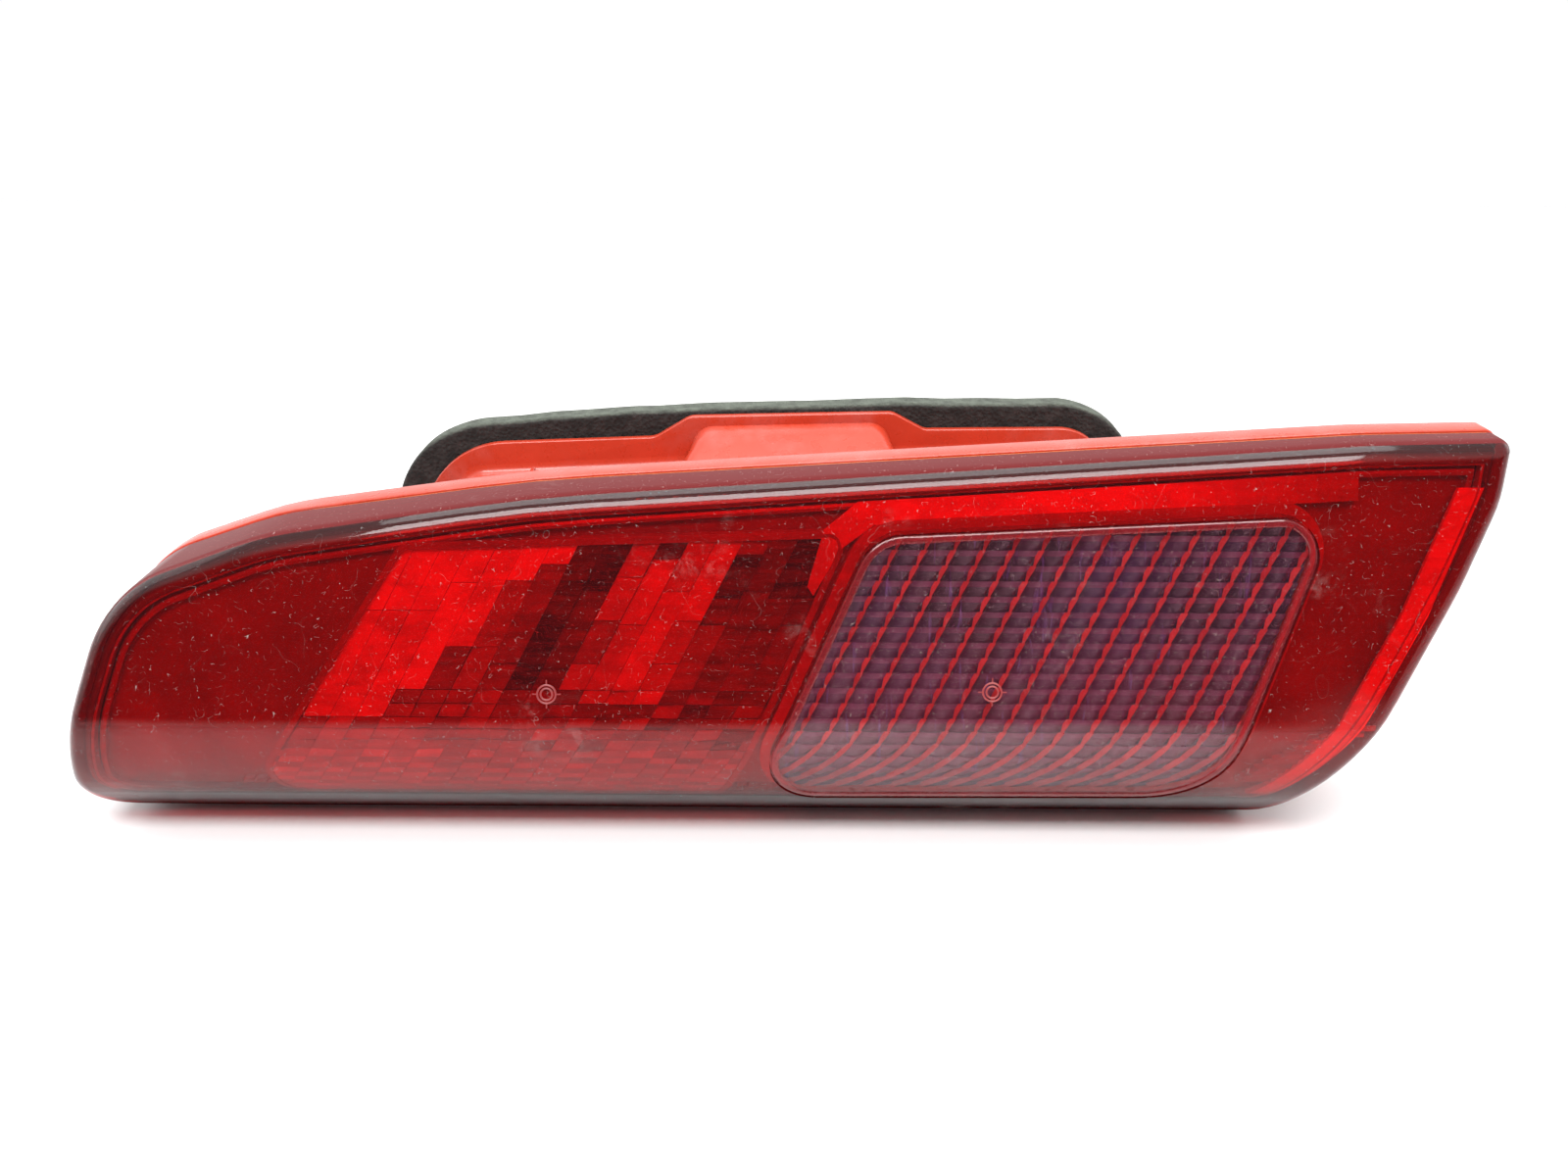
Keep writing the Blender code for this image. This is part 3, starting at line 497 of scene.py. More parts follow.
def flute_violet(name):
    """Violet filter plastic with painted blue glints streaked down each flute, a painted red reflection
    towards the bottom and painted highlights from each face's tone.
    """
    made = Finish(name)
    streak = made.noise(420.0, 3.0, 0.7, where=made.stretched((1.0, 0.25, 0.10)), distortion=0.5)
    patch = made.noise(22.0, 2.0)
    tone = made.blend(made.range(patch, 0.38, 0.62), (0.024, 0.004, 0.015), (0.034, 0.011, 0.060))
    # Painted reflection: redder towards the bottom, standing in for the floor reflected there.
    height = made.add("ShaderNodeSeparateXYZ", {0: made.where}).outputs["Z"]
    tone = made.blend(made.range(height, 0.014, 0.060, 0.90, 0.0), tone, (0.170, 0.010, 0.024))
    # Painted glints: fine blue streaks down the flutes.
    tone = made.blend(made.range(streak, 0.60, 0.74), tone, (0.14, 0.075, 0.27))
    # Painted highlight: faces with a high tone turn a lighter mauve; part of the tone is random.
    tone = made.blend(made.range(made.mark("tone"), 0.0, 1.0, 0.0, 0.75), tone, (0.210, 0.036, 0.098))
    made.set(Base_Color=tone, Coat_Weight=0.6, Coat_Roughness=0.06)
    made.set(Roughness=made.range(made.noise(300.0, 2.0), 0.3, 0.7, 0.14, 0.28))
    made.set(Normal=made.bump(made.noise(700.0, 2.0, where=made.stretched((1.0, 0.3, 0.15))), 0.00006))
    return made.material


def foam(name):
    """Black sponge rubber, its upper face greyed by dust."""
    made = Finish(name)
    pits = made.cells(900.0)
    normal = made.add("ShaderNodeNewGeometry").outputs["Normal"]
    up = made.add("ShaderNodeSeparateXYZ", {0: normal}).outputs["Z"]
    facing_up = made.range(up, 0.4, 0.9)
    top = made.math("MULTIPLY", facing_up, made.range(made.noise(300.0, 4.0), 0.3, 0.6, 0.45, 1.0))
    mottle = made.range(made.noise(400.0, 4.0), 0.4, 0.7)
    tone = made.blend(mottle, (0.010, 0.009, 0.008), (0.030, 0.026, 0.024))
    tone = made.blend(top, tone, (0.115, 0.130, 0.105))
    made.set(Base_Color=tone, Roughness=0.92)
    rough = made.math("ADD", pits, made.noise(1500.0, 3.0))
    made.set(Normal=made.bump(rough, 0.00035))
    return made.material


RED_TINT = (0.955, 0.115, 0.105)
skin_red = lens_skin("lens_skin_red", RED_TINT, (0.25, 0.028, 0.036), 0.035)
# Painted shade: a darker copy of the red lens skin, with a dim tint, more veil and less shine, for the faces
# that turn away from the front.
SHADED_EDGE_TINT = (0.20, 0.008, 0.008)
skin_edge_shaded = lens_skin("lens_skin_edge_shaded", SHADED_EDGE_TINT, (0.27, 0.012, 0.014), 0.45, haze=0.20, shine=0.30)
skin_rim = lens_skin("lens_skin_rim", (0.93, 0.42, 0.45), (0.60, 0.05, 0.06), 0.15)
skin_clear = lens_skin("lens_skin_window", (0.93, 0.80, 0.84), (0.30, 0.10, 0.14), 0.03, haze=0.22)
mosaic_red = optic_red("mosaic_red", (0.030, 0.004, 0.004), (0.95, 0.030, 0.020))
band_red = optic_red("band_red", (0.20, 0.010, 0.008), (1.0, 0.060, 0.020), 0.3)
ridge_red = optic_red("ridge_red", (0.55, 0.016, 0.018), (1.0, 0.075, 0.060), 0.18)
violet = flute_violet("flute_violet")
# Painted shade: near-black red for the skirt inside the lens edge and for the flat back faces of the lens
# rim.
painted_shade_liner = solid("painted_shade_liner", (0.085, 0.006, 0.008), 0.5, vary=0.3)
maroon = solid("bezel_maroon", (0.235, 0.012, 0.012), 0.45, vary=0.22, bump=0.00005, grain=260.0)
coat = {"Coat_Weight": 0.35, "Coat_Roughness": 0.12}
body_red = solid("housing_red", (0.50, 0.044, 0.018), 0.28, vary=0.06, dust=0.18, **coat)
strip_coral = solid("bead_orange", (0.86, 0.25, 0.06), 0.40, vary=0.15, dust=0.2)
foam_black = foam("foam_black")
rubber = solid("rubber_black", (0.020, 0.019, 0.018), 0.75, dust=0.22, bump=0.00008)
fine = {"dust": 0.15, "bump": 0.00006, "grain": 1600.0}
plastic_grey = solid("plastic_grey", (0.30, 0.30, 0.31), 0.48, vary=0.10, **fine)
plastic_black = solid("plastic_black", (0.016, 0.016, 0.017), 0.42, vary=0.2, **fine)
brass = solid("bulb_brass", (0.78, 0.60, 0.30), 0.26, 1.0, vary=0.18)
tin = solid("tinned_metal", (0.72, 0.70, 0.65), 0.28, 1.0, vary=0.15)
zinc = solid("zinc_steel", (0.62, 0.62, 0.60), 0.30, 1.0, vary=0.20, dust=0.12)
silver = solid("reflector_silver", (0.88, 0.88, 0.88), 0.07, 1.0, vary=0.05)
enamel = solid("contact_glass", (0.035, 0.035, 0.045), 0.12, vary=0.3)
tungsten = solid("filament_metal", (0.42, 0.42, 0.44), 0.30, 1.0, vary=0.2)
bulb_clear = Finish("bulb_glass")
bulb_clear.set(Base_Color=(0.96, 0.96, 0.96), Transmission_Weight=1.0, IOR=1.45, Roughness=0.02)
bulb_clear.set(Normal=bulb_clear.bump(bulb_clear.noise(160.0, 2.0), 0.00003))
bulb_clear = bulb_clear.material


# ---------------------------------------------------------------- lens skins
def lens_group():
    skin = new_object("lens_skin", body_behind(LENS, 0.0, LENS_EDGE, LENS_BACK_Y), skin_red)
    hollow = body_behind(LENS, LENS_WALL, LENS_EDGE - LENS_WALL / 2, LENS_BACK_Y + 0.005, 4)
    cut(skin, hollow, prism(WINDOW, ROLL_Y - 0.04, ROLL_Y + 0.004))
    skin.data.materials.append(skin_edge_shaded)
    skin.data.materials.append(painted_shade_liner)
    # Painted shade: the flat back faces of the rim get the dark painted-shade liner, and the faces turned
    # sideways get the darker shaded copy of the lens skin.
    for polygon in skin.data.polygons:
        if polygon.normal.y > 0.9 and polygon.center.y > LENS_BACK_Y - 0.0001:
            polygon.material_index = 2
        elif abs(polygon.normal.y) < 0.40:
            polygon.material_index = 1
    place(skin, "red_lens", "outer_lens")

    pane = new_object("window_pane", sheet(WINDOW, 0.0002, (0.00035, 0.0014)), skin_clear)
    place(pane, "violet_lens", "window_lens")
    lip = (
        (0.0004, 0.00036), (0.0007, 0.00008), (0.0012, 0.0), (0.0019, 0.00010),
        (0.0023, 0.00045), (0.0023, 0.0009), (0.0004, 0.0009),
    )
    placed("window_rim", rim_along(WINDOW, lip), skin_rim, "violet_lens")


def mesh_with_tone():
    bm = bmesh.new()
    return bm, bm.faces.layers.float.new("tone")


def facet(bm, layer, corners, depth_low, tone):
    """One raised cell: a top through (x, s, depth) corners, divided along s, with walls down to a depth."""
    (xa, sa, da), (xb, sb, db), (xc, sc, dc), (xd, sd, dd) = corners
    rows = max(1, math.ceil((sd - sa) / 0.0025)) if sa < ROLL_END else 1
    left, right = [], []
    for k in range(rows + 1):
        t = k / rows
        left.append((xa + (xd - xa) * t, sa + (sd - sa) * t, da + (dd - da) * t))
        right.append((xb + (xc - xb) * t, sb + (sc - sb) * t, db + (dc - db) * t))
    ring = left[::-1] + right
    top_left = [bm.verts.new(on_face(*p)) for p in left]
    top_right = [bm.verts.new(on_face(*p)) for p in right]
    faces = []
    for k in range(rows):
        faces.append(bm.faces.new((top_left[k], top_right[k], top_right[k + 1], top_left[k + 1])))
    border = top_left[::-1] + top_right
    foot = [bm.verts.new(on_face(x, s, depth_low)) for x, s, _ in ring]
    for i in range(len(border)):
        faces.append(bm.faces.new((border[i - 1], border[i], foot[i], foot[i - 1])))
    for face in faces:
        face[layer] = tone
    return faces


MOSAIC = (
    (-0.1345, 0.0080, 0.010), (-0.0150, 0.0080, 0.002), (0.0168, 0.0768, 0.003), (-0.0905, 0.0735, 0.004),
)
COLUMN = 0.0065
SLANT = 0.52
TOP_S = 0.094
BRIGHT_FROM = (0.050, 0.048, 0.048, 0.057, 0.066, 0.073, 0.079)


def mosaic_painted_light(k, s, turn):
    """How bright a cell is, as painted light: a bright block at the left standing in for light from the
    reflectors behind, darker towards its lower end, stepping down to dark columns and mixed ones, with a
    random wobble.
    """
    wobble = random.uniform(-1, 1)
    if s < 0.040:
        return (0.62 if turn % 2 else 0.38) + 0.06 * wobble + (0.12 if 0 <= k < 6 else -0.03)
    if k < 0:
        return 0.26 + 0.07 * wobble
    if k < 7:
        if s > BRIGHT_FROM[k]:
            return 0.97 + 0.08 * wobble - max(0.0, 0.058 - s) * 18
        return 0.36 + 0.14 * wobble
    if k < 9:
        return (0.09 if s > 0.056 else 0.28) + 0.06 * wobble
    if k == 9:
        return 0.36 + 0.26 * wobble
    if k < 13:
        return (0.66 if 0.052 < s < 0.083 else 0.24) + 0.16 * wobble
    return 0.17 + 0.17 * wobble


def mosaic():
    bm, layer = mesh_with_tone()
    for k in range(-7, 20):
        s = 0.018
        turn = k % 2
        while s < 0.101:
            if s < 0.040:
                tall = 0.0021
            elif s < 0.056:
                tall = 0.0034
            else:
                tall = random.choice((0.0065, 0.0105, 0.0160, 0.0240))
            calm = 0 <= k < 7 and s > BRIGHT_FROM[k]
            if calm:
                tall = 0.026
            top = s + tall
            lean = 0.00008 if calm else 0.0005
            if s < 0.040:
                depths = [0.0036, 0.0036, 0.0046, 0.0046]
            else:
                tip = random.uniform(-lean, lean)
                roll = random.uniform(-lean, lean)
                depths = [0.0042 + tip + roll, 0.0042 + tip - roll, 0.0042 - tip - roll, 0.0042 - tip + roll]
            at = [-0.093 + k * COLUMN - SLANT * (TOP_S - level) for level in (s, top)]
            inset = 0.00006
            low_x, high_x = at
            corners = (
                (low_x + inset, s + inset, depths[0]), (low_x + COLUMN - inset, s + inset, depths[1]),
                (high_x + COLUMN - inset, top - inset, depths[2]), (high_x + inset, top - inset, depths[3]),
            )
            facet(bm, layer, corners, 0.0058, mosaic_painted_light(k, s, turn))
            turn += 1
            s = top
    clip_to(bm, MOSAIC)
    placed("mosaic_facets", bm, mosaic_red, "clear_red_optic", "prism_optic", sharp=12, solid=False)
    line = ((-0.0006, 0.0036), (0.0004, 0.0034), (0.0010, 0.0036), (0.0010, 0.0056), (-0.0006, 0.0056))
    placed("mosaic_frame", toned(rim_along(MOSAIC, line), 0.16), band_red, "clear_red_optic")


def toned(bm, tone):
    layer = bm.faces.layers.float.new("tone")
    for face in bm.faces:
        face[layer] = tone
    return bm


# ---------------------------------------------------------------- window flutes
PITCH = 0.0070
ROW = 0.0037
FLUTE_SLANT = 0.505
BEND_S = 0.047
BEND = 30.0
ACROSS = (0.0, 0.08, 0.2, 0.35, 0.5, 0.65, 0.8, 0.92, 1.0)


def flute_x(j, s):
    """x of the ridge between two flutes; it bends towards the left where the lens rolls under."""
    x = 0.0300 + j * PITCH - FLUTE_SLANT * (0.0960 - s)
    if s < BEND_S:
        x -= BEND * (BEND_S - s) ** 2
    return x


def flutes():
    bm, layer = mesh_with_tone()
    rows = range(5, 29)
    for j in range(-9, 22):
        for i in rows:
            s_low, s_high = i * ROW, (i + 1) * ROW
            tilt = random.uniform(-0.00012, 0.00012)
            tone = max(0.0, random.uniform(-0.4, 0.5))
            columns = []
            for t in ACROSS:
                column = []
                for v in (0.0, 0.62, 1.0):
                    s = s_low + (s_high - s_low) * v
                    left = flute_x(j, s)
                    x = left + (flute_x(j + 1, s) - left) * t
                    crown = 0.0011 * (1 - (2 * t - 1) ** 2)
                    step = 0.00085 * (1 - v) + 0.00012 * math.sin(math.pi * v)
                    column.append((x, s, 0.0036 - crown + step + tilt * (2 * t - 1)))
                columns.append(column)
            made = [[bm.verts.new(on_face(*p)) for p in column] for column in columns]
            for a, b in zip(made, made[1:]):
                for v in range(2):
                    side = ACROSS[made.index(a)]
                    # Painted highlight: the upper part of each row and the right side of each flute are
                    # lighter, plus a random tone.
                    painted_highlight_and_tone = (0.0, 0.85)[v] * (0.35 + side) + 0.35 * tone
                    bm.faces.new((a[v], b[v], b[v + 1], a[v + 1]))[layer] = painted_highlight_and_tone
            for v in (0, 2):
                foot = [bm.verts.new(on_face(column[v][0], column[v][1], 0.0046)) for column in columns]
                for n in range(len(foot) - 1):
                    ring = (made[n][v], made[n + 1][v], foot[n + 1], foot[n])
                    bm.faces.new(ring)[layer] = 0.4
    clip_to(bm, WINDOW, 0.0016)
    placed("window_flutes", bm, violet, "violet_lens", sharp=50, solid=False)

    bm, layer = mesh_with_tone()
    for j in range(-9, 22):
        for i in rows:
            s_low, s_high = i * ROW, (i + 1) * ROW
            rolled = s_low < BEND_S - 0.004
            tone = random.uniform(0.05, 0.60)
            sections = []
            for v in (0.0, 0.5, 1.0):
                s = s_low + (s_high - s_low) * v
                x = flute_x(j, s)
                half = (0.00055 + 0.00022 * v) if rolled else (0.00022 + 0.00080 * v)
                high = 0.0026 - (0.0003 if rolled else 0.0005 * v)
                crest = [(x - half * 1.5, s, 0.0035), (x + half * 0.2, s, high), (x + half * 0.8, s, 0.0035)]
                sections.append(crest)
            made = [[bm.verts.new(on_face(*p)) for p in section] for section in sections]
            for a, b in zip(made, made[1:]):
                for n in range(2):
                    bm.faces.new((a[n], a[n + 1], b[n + 1], b[n]))[layer] = tone
            # Painted light: the upper end face of each ridge is lighter and the lower end face darker.
            bm.faces.new(made[2])[layer] = 0.9
            bm.faces.new(made[0][::-1])[layer] = 0.2
    clip_to(bm, WINDOW, 0.0016)
    placed("window_ridges", bm, ridge_red, "violet_lens", sharp=20, solid=False)
    backing = toned(sheet(WINDOW, 0.0004, (0.0046, 0.0056)), 0.0)
    placed("window_backing", backing, ridge_red, "violet_lens")
    ring = ((-0.0024, 0.0036), (-0.0012, 0.0033), (0.0010, 0.0036), (0.0014, 0.0052), (-0.0024, 0.0056))
    placed("window_frame", toned(rim_along(WINDOW, ring), 0.34), band_red, "clear_red_optic")


# ---------------------------------------------------------------- bezel and bright bands
def strip_between(points, depth, thick):
    """A strip that follows the face, through pairs of (x, s) points on its two edges."""
    bm = bmesh.new()
    rows = []
    for (xa, sa), (xb, sb) in points:
        rows.append([bm.verts.new(on_face(x, s, d)) for x, s, d in (
            (xa, sa, depth), (xb, sb, depth), (xb, sb, depth + thick), (xa, sa, depth + thick))])
    bm.faces.new(rows[0])
    bm.faces.new(rows[-1][::-1])
    for a, b in zip(rows, rows[1:]):
        for n in range(4):
            bm.faces.new((a[n], a[n - 1], b[n - 1], b[n]))
    return bm


def lerp(a, b, t):
    return tuple(p + (q - p) * t for p, q in zip(a, b))


def path_pair(lows, highs, steps=24):
    """Pairs of points along two polylines with as many corners each."""
    pairs = []
    for n in range(len(lows) - 1):
        for k in range(steps):
            t = k / steps
            pairs.append((lerp(lows[n], lows[n + 1], t), lerp(highs[n], highs[n + 1], t)))
    pairs.append((lows[-1], highs[-1]))
    return pairs


def s_of(z):
    """Distance along the section for a height on the face."""
    tangent_z = ROLL + ROLL * math.sin(LEAN)
    if z >= tangent_z:
        return ROLL_END + (z - tangent_z) / math.cos(LEAN)
    return ROLL * math.acos((ROLL - z) / ROLL)


def along_section(points):
    return [(x, s_of(z)) for x, z in points]


def teeth(bm, layer, start, end, count, tall, depth, tones):
    """A row of small wedges between two (x, z) points."""
    for k in range(count):
        (xa, za), (xb, zb) = lerp(start, end, k / count), lerp(start, end, (k + 0.8) / count)
        sa, sb = s_of(za), s_of(zb)
        shift, deep = tall * 0.5, depth + 0.0006
        foot = ((xa, sa, depth), (xb, sb, deep))
        corners = foot + ((xb + shift, sb + tall, deep), (xa + shift, sa + tall, depth))
        facet(bm, layer, corners, depth + 0.0015, random.choice(tones))


BAND_CLEAR = (
    (0.1120, 0.0084, 0.001), (0.1236, 0.0084, 0.001), (0.1302, 0.0180, 0.010), (0.1416, 0.0340, 0.010),
    (0.1561, 0.0600, 0.010), (0.1684, 0.0895, 0.001), (0.1560, 0.0895, 0.001), (0.1300, 0.0400, 0.010),
)


def edge_painted_shade():
    """Painted shade: a dark skirt just inside the lens's rounded edge and side wall, standing in for the
    shadow there.
    """
    back = LENS_BACK_Y - GAP
    liner = new_object("edge_painted_shade", body_behind(LENS, 0.0029, 0.0022, back, 5), painted_shade_liner)
    inner = body_behind(LENS, 0.0037, 0.0018, back + 0.005, 4)
    cut(liner, inner, prism(LENS, ROLL_Y - 0.04, back + 0.006, 0.0052))
    cut(liner, prism(BAND_CLEAR, ROLL_Y - 0.04, back + 0.006))
    place(liner, "dark_red_bezel")


def bezel_group():
    edge_painted_shade()
    back = LENS_BACK_Y - GAP
    bezel = new_object("bezel_back", body_behind(LENS, 0.0056, 0.0015, back, 3), maroon)
    cut(bezel, body_behind(LENS, 0.0070, 0.001, back + 0.005, 2))
    place(bezel, "dark_red_bezel", "inner_bezel")
    line = ((0.0050, 0.0034), (0.0054, 0.0031), (0.0058, 0.0034), (0.0058, 0.0054), (0.0050, 0.0054))
    placed("edge_line", toned(rim_along(LENS, line), 0.30), band_red, "dark_red_bezel")
    step = ((0.0068, 0.0042), (0.0074, 0.0039), (0.0082, 0.0042), (0.0082, 0.0056), (0.0068, 0.0056))
    placed("edge_step", toned(rim_along(LENS, step), 0.10), band_red, "dark_red_bezel")

    inner = ((0.1180, 0.0090), (0.1238, 0.0180), (0.1350, 0.0340), (0.1493, 0.0600), (0.1618, 0.0890))
    outer = ((0.1235, 0.0090), (0.1298, 0.0180), (0.1412, 0.0340), (0.1557, 0.0600), (0.1678, 0.0890))
    right = path_pair(along_section(inner), along_section(outer), 10)
    placed("band_right", toned(strip_between(right, 0.0033, 0.0012), 1.0), band_red, "dark_red_bezel")
    lower = ((0.0085, 0.0640), (0.0150, 0.0745), (0.0230, 0.0800), (0.1380, 0.0860))
    upper = ((0.0070, 0.0660), (0.0110, 0.0790), (0.0190, 0.0852), (0.1380, 0.0922))
    top = path_pair(along_section(lower), along_section(upper), 24)
    bm = toned(strip_between(top, 0.0035, 0.0014), 1.0)
    layer = bm.faces.layers.float["tone"]
    for face in bm.faces:
        centre = face.calc_center_median().x
        fade = (centre - 0.088) / 0.045 if centre > 0.05 else (0.030 - centre) / 0.03
        face[layer] = 1.0 - 0.72 * min(1.0, max(0.0, fade))
    placed("band_top", bm, band_red, "dark_red_bezel")

    bm, layer = mesh_with_tone()
    teeth(bm, layer, (-0.035, 0.0838), (0.150, 0.0935), 62, 0.0020, 0.0040, (0.0, 0.1, 0.35))
    teeth(bm, layer, (-0.135, 0.0100), (0.000, 0.0068), 46, 0.0030, 0.0042, (0.0, 0.08, 0.16))
    placed("edge_teeth", bm, band_red, "dark_red_bezel", sharp=15, solid=False)
    bm, layer = mesh_with_tone()
    for k in range(11):
        z = 0.0150 + 0.0018 * k
        x = 0.1135 + 0.0009 * k + 0.00012 * k * k
        corners = (
            (x, s_of(z), 0.0038), (x + 0.0105, s_of(z + 0.0004), 0.0038),
            (x + 0.0110, s_of(z + 0.0016), 0.0046), (x + 0.0040, s_of(z + 0.0014), 0.0046),
        )
        facet(bm, layer, corners, 0.0056, 0.20 + 0.05 * (k % 3))
    placed("corner_prisms", bm, band_red, "dark_red_bezel", sharp=15, solid=False)


def ring_mark(name, x, z, surface):
    """A moulded target: two rings and four ticks, lying on the face."""
    half = 0.00022
    flat = []
    for r in (0.0014, 0.0022):
        low, high = r - half, r + half
        section = [(low, 0.0), (low, -0.00012), (r, -0.00020), (high, -0.00012), (high, 0.0)]
        flat.append(turned(section, 0, 0, 40))
    for quarter in range(4):
        tick = box((0.0024, 0.0034), (-0.00014, 0.0), (-0.00014, 0.00014))
        tick.transform(Matrix.Rotation(quarter * math.pi / 2, 4, "Y"))
        flat.append(tick)
    bm = joined(*flat)
    bm.transform(Matrix.Translation((x, face_y(z, 0.0) - 0.00002, z)) @ Matrix.Rotation(-LEAN, 4, "X"))
    placed(name, bm, surface, "red_lens")


lens_group()
mosaic()
flutes()
bezel_group()
mark_pale = solid("mark_plastic", (0.30, 0.035, 0.035), 0.35)
ring_mark("target_left", -0.0551, 0.0418, mark_pale)
ring_mark("target_right", 0.0512, 0.0428, mark_pale)


# ---------------------------------------------------------------- housing
TRAY_FRONT_Y = LENS_BACK_Y + 0.0014
TRAY_BACK_Y = TRAY_FRONT_Y + 0.007
REAR_WALL_Y = ROLL_Y + 0.050
REAR_FACE_Y = REAR_WALL_Y + 0.0025
CARRIER_HOLE = (
    (-0.087, 0.017, 0.004), (0.069, 0.017, 0.004), (0.069, 0.063, 0.004), (-0.087, 0.063, 0.004),
)
STUDS = ((-0.0915, 0.024), (-0.0915, 0.059), (0.080, 0.024), (0.080, 0.066))


def fillet(corners, y, way, radius, distance=0.0):
    """A hollow-cornered skirt round an outline, where a wall rises from a plate at y."""
    turns = [math.pi / 2 * k / 5 for k in range(6)]
    section = []
    for a in turns:
        section.append((distance - radius + radius * math.sin(a), y + way * radius * (1 - math.cos(a))))
    under = y - way * 0.0005
    section += [(distance + 0.001, y + way * radius), (distance + 0.001, under), (distance - radius, under)]
    return stack([[(x, at, z) for x, z in outline_of(corners, d)] for d, at in section], closed=True)


def rounded_quad(corners, radius, count=6):
    """Points (x, z) round a four-cornered shape, with the same number of points whatever its angles."""
    points = []
    for i, (x, z) in enumerate(corners):
        here = Vector((x, z))
        back = (Vector(corners[i - 1]) - here).normalized()
        on = (Vector(corners[(i + 1) % len(corners)]) - here).normalized()
        turn = math.pi - back.angle(on)
        centre = here + (back + on).normalized() * radius / math.cos(turn / 2)
        spoke = here + back * radius * math.tan(turn / 2) - centre
        points += [centre + Matrix.Rotation(turn * k / count, 2) @ spoke for k in range(count + 1)]
    return [(p.x, p.y) for p in points]


def hump():
    """The raised hump on top of the neck: a ramp from the tray up to the rear flange."""
    shapes = (
        (ROLL_Y + 0.0225, ((-0.0345, 0.060), (0.0385, 0.060), (0.0360, 0.0770), (-0.0320, 0.0730)), 0.003),
        (ROLL_Y + 0.0260, ((-0.0335, 0.060), (0.0375, 0.060), (0.0345, 0.0790), (-0.0300, 0.0755)), 0.004),
        (ROLL_Y + 0.0425, ((-0.0330, 0.060), (0.0370, 0.060), (0.0300, 0.0862), (-0.0236, 0.0846)), 0.006),
        (ROLL_Y + 0.0452, ((-0.0330, 0.060), (0.0370, 0.060), (0.0292, 0.0872), (-0.0228, 0.0857)), 0.006),
        (ROLL_Y + 0.0512, ((-0.0330, 0.060), (0.0370, 0.060), (0.0290, 0.0876), (-0.0225, 0.0862)), 0.006),
    )
    return stack([[(x, y, z) for x, z in rounded_quad(shape, radius)] for y, shape, radius in shapes])


def red_piece(name, bm, edge):
    """A moulded detail of the housing, its edges rounded."""
    piece = new_object("housing_" + name, bm, body_red)
    soften(piece, edge)
    place(piece, "red_housing")


def housing():
    shell = new_object("housing_shell", prism(LENS, TRAY_FRONT_Y, TRAY_BACK_Y, -0.0003, 0.0005), body_red)
    cut(shell, prism(NECK, TRAY_BACK_Y - 0.001, REAR_WALL_Y + 0.001), operation="UNION")
    cut(shell, prism(REAR_FLANGE, REAR_WALL_Y, REAR_FACE_Y, 0.0, 0.0004), operation="UNION")
    cut(shell, hump(), operation="UNION")
    cut(shell, prism(LENS, TRAY_FRONT_Y - 0.002, TRAY_BACK_Y - 0.002, 0.003))
    cut(shell, prism(NECK, TRAY_FRONT_Y - 0.001, REAR_WALL_Y, 0.0025))
    cut(shell, prism(CARRIER_HOLE, REAR_WALL_Y - 0.001, REAR_FACE_Y + 0.001, 0.008))
    place(shell, "red_housing", "housing")

    wall = box((-0.0038, -0.0022), (ROLL_Y + 0.001, REAR_WALL_Y + 0.001), (0.0135, 0.0758))
    red_piece("divider", wall, 0.0003)
    for name, y, way, radius in (("foot", TRAY_BACK_Y, 1, 0.0035), ("top", REAR_WALL_Y, -1, 0.0030)):
        placed("housing_neck_" + name, fillet(NECK, y, way, radius), body_red, "red_housing", sharp=50)
    for side, edge in ((-1, -0.087), (1, 0.069)):
        profile = (
            (0.0040, REAR_FACE_Y - 0.001), (0.0040, ROLL_Y + 0.0715),
            (0.0000, ROLL_Y + 0.0715), (0.0000, ROLL_Y + 0.0706),
            (0.0006, ROLL_Y + 0.0696), (0.0016, ROLL_Y + 0.0696), (0.0016, REAR_FACE_Y - 0.001),
        )
        post = stack([[(edge + side * x, y, z) for x, y in profile] for z in (0.033, 0.047)])
        red_piece("post_" + ("left" if side < 0 else "right"), post, 0.0003)
    for number, (x, z) in enumerate(STUDS, 1):
        y = REAR_FACE_Y
        boss = [(0.0033, y - 0.001), (0.0062, y - 0.001), (0.0062, y), (0.0052, y + 0.0004)]
        boss += [(0.0048, y + 0.0011), (0.0046, y + 0.0015), (0.0036, y + 0.0015), (0.0033, y + 0.0012)]
        placed(f"housing_boss_{number}", turned(boss, x, z), body_red, "red_housing")
    tray, wall_end = TRAY_BACK_Y, REAR_WALL_Y + 0.001
    details = (
        ("pad", (-0.0462, -0.0362), (tray - 0.001, tray + 0.0110), (0.0700, 0.0762), 0.0008),
        ("ledge_front", (0.0400, 0.0740), (tray + 0.0150, tray + 0.0162), (0.0760, 0.0822), 0.0004),
        ("ledge_side", (0.0398, 0.0410), (tray + 0.0010, tray + 0.0300), (0.0760, 0.0818), 0.0004),
        ("rib_left", (-0.0700, -0.0688), (tray - 0.001, wall_end), (0.0690, 0.0742), 0.0004),
    )
    for name, x, y, z, edge in details:
        red_piece(name, box(x, y, z), edge)


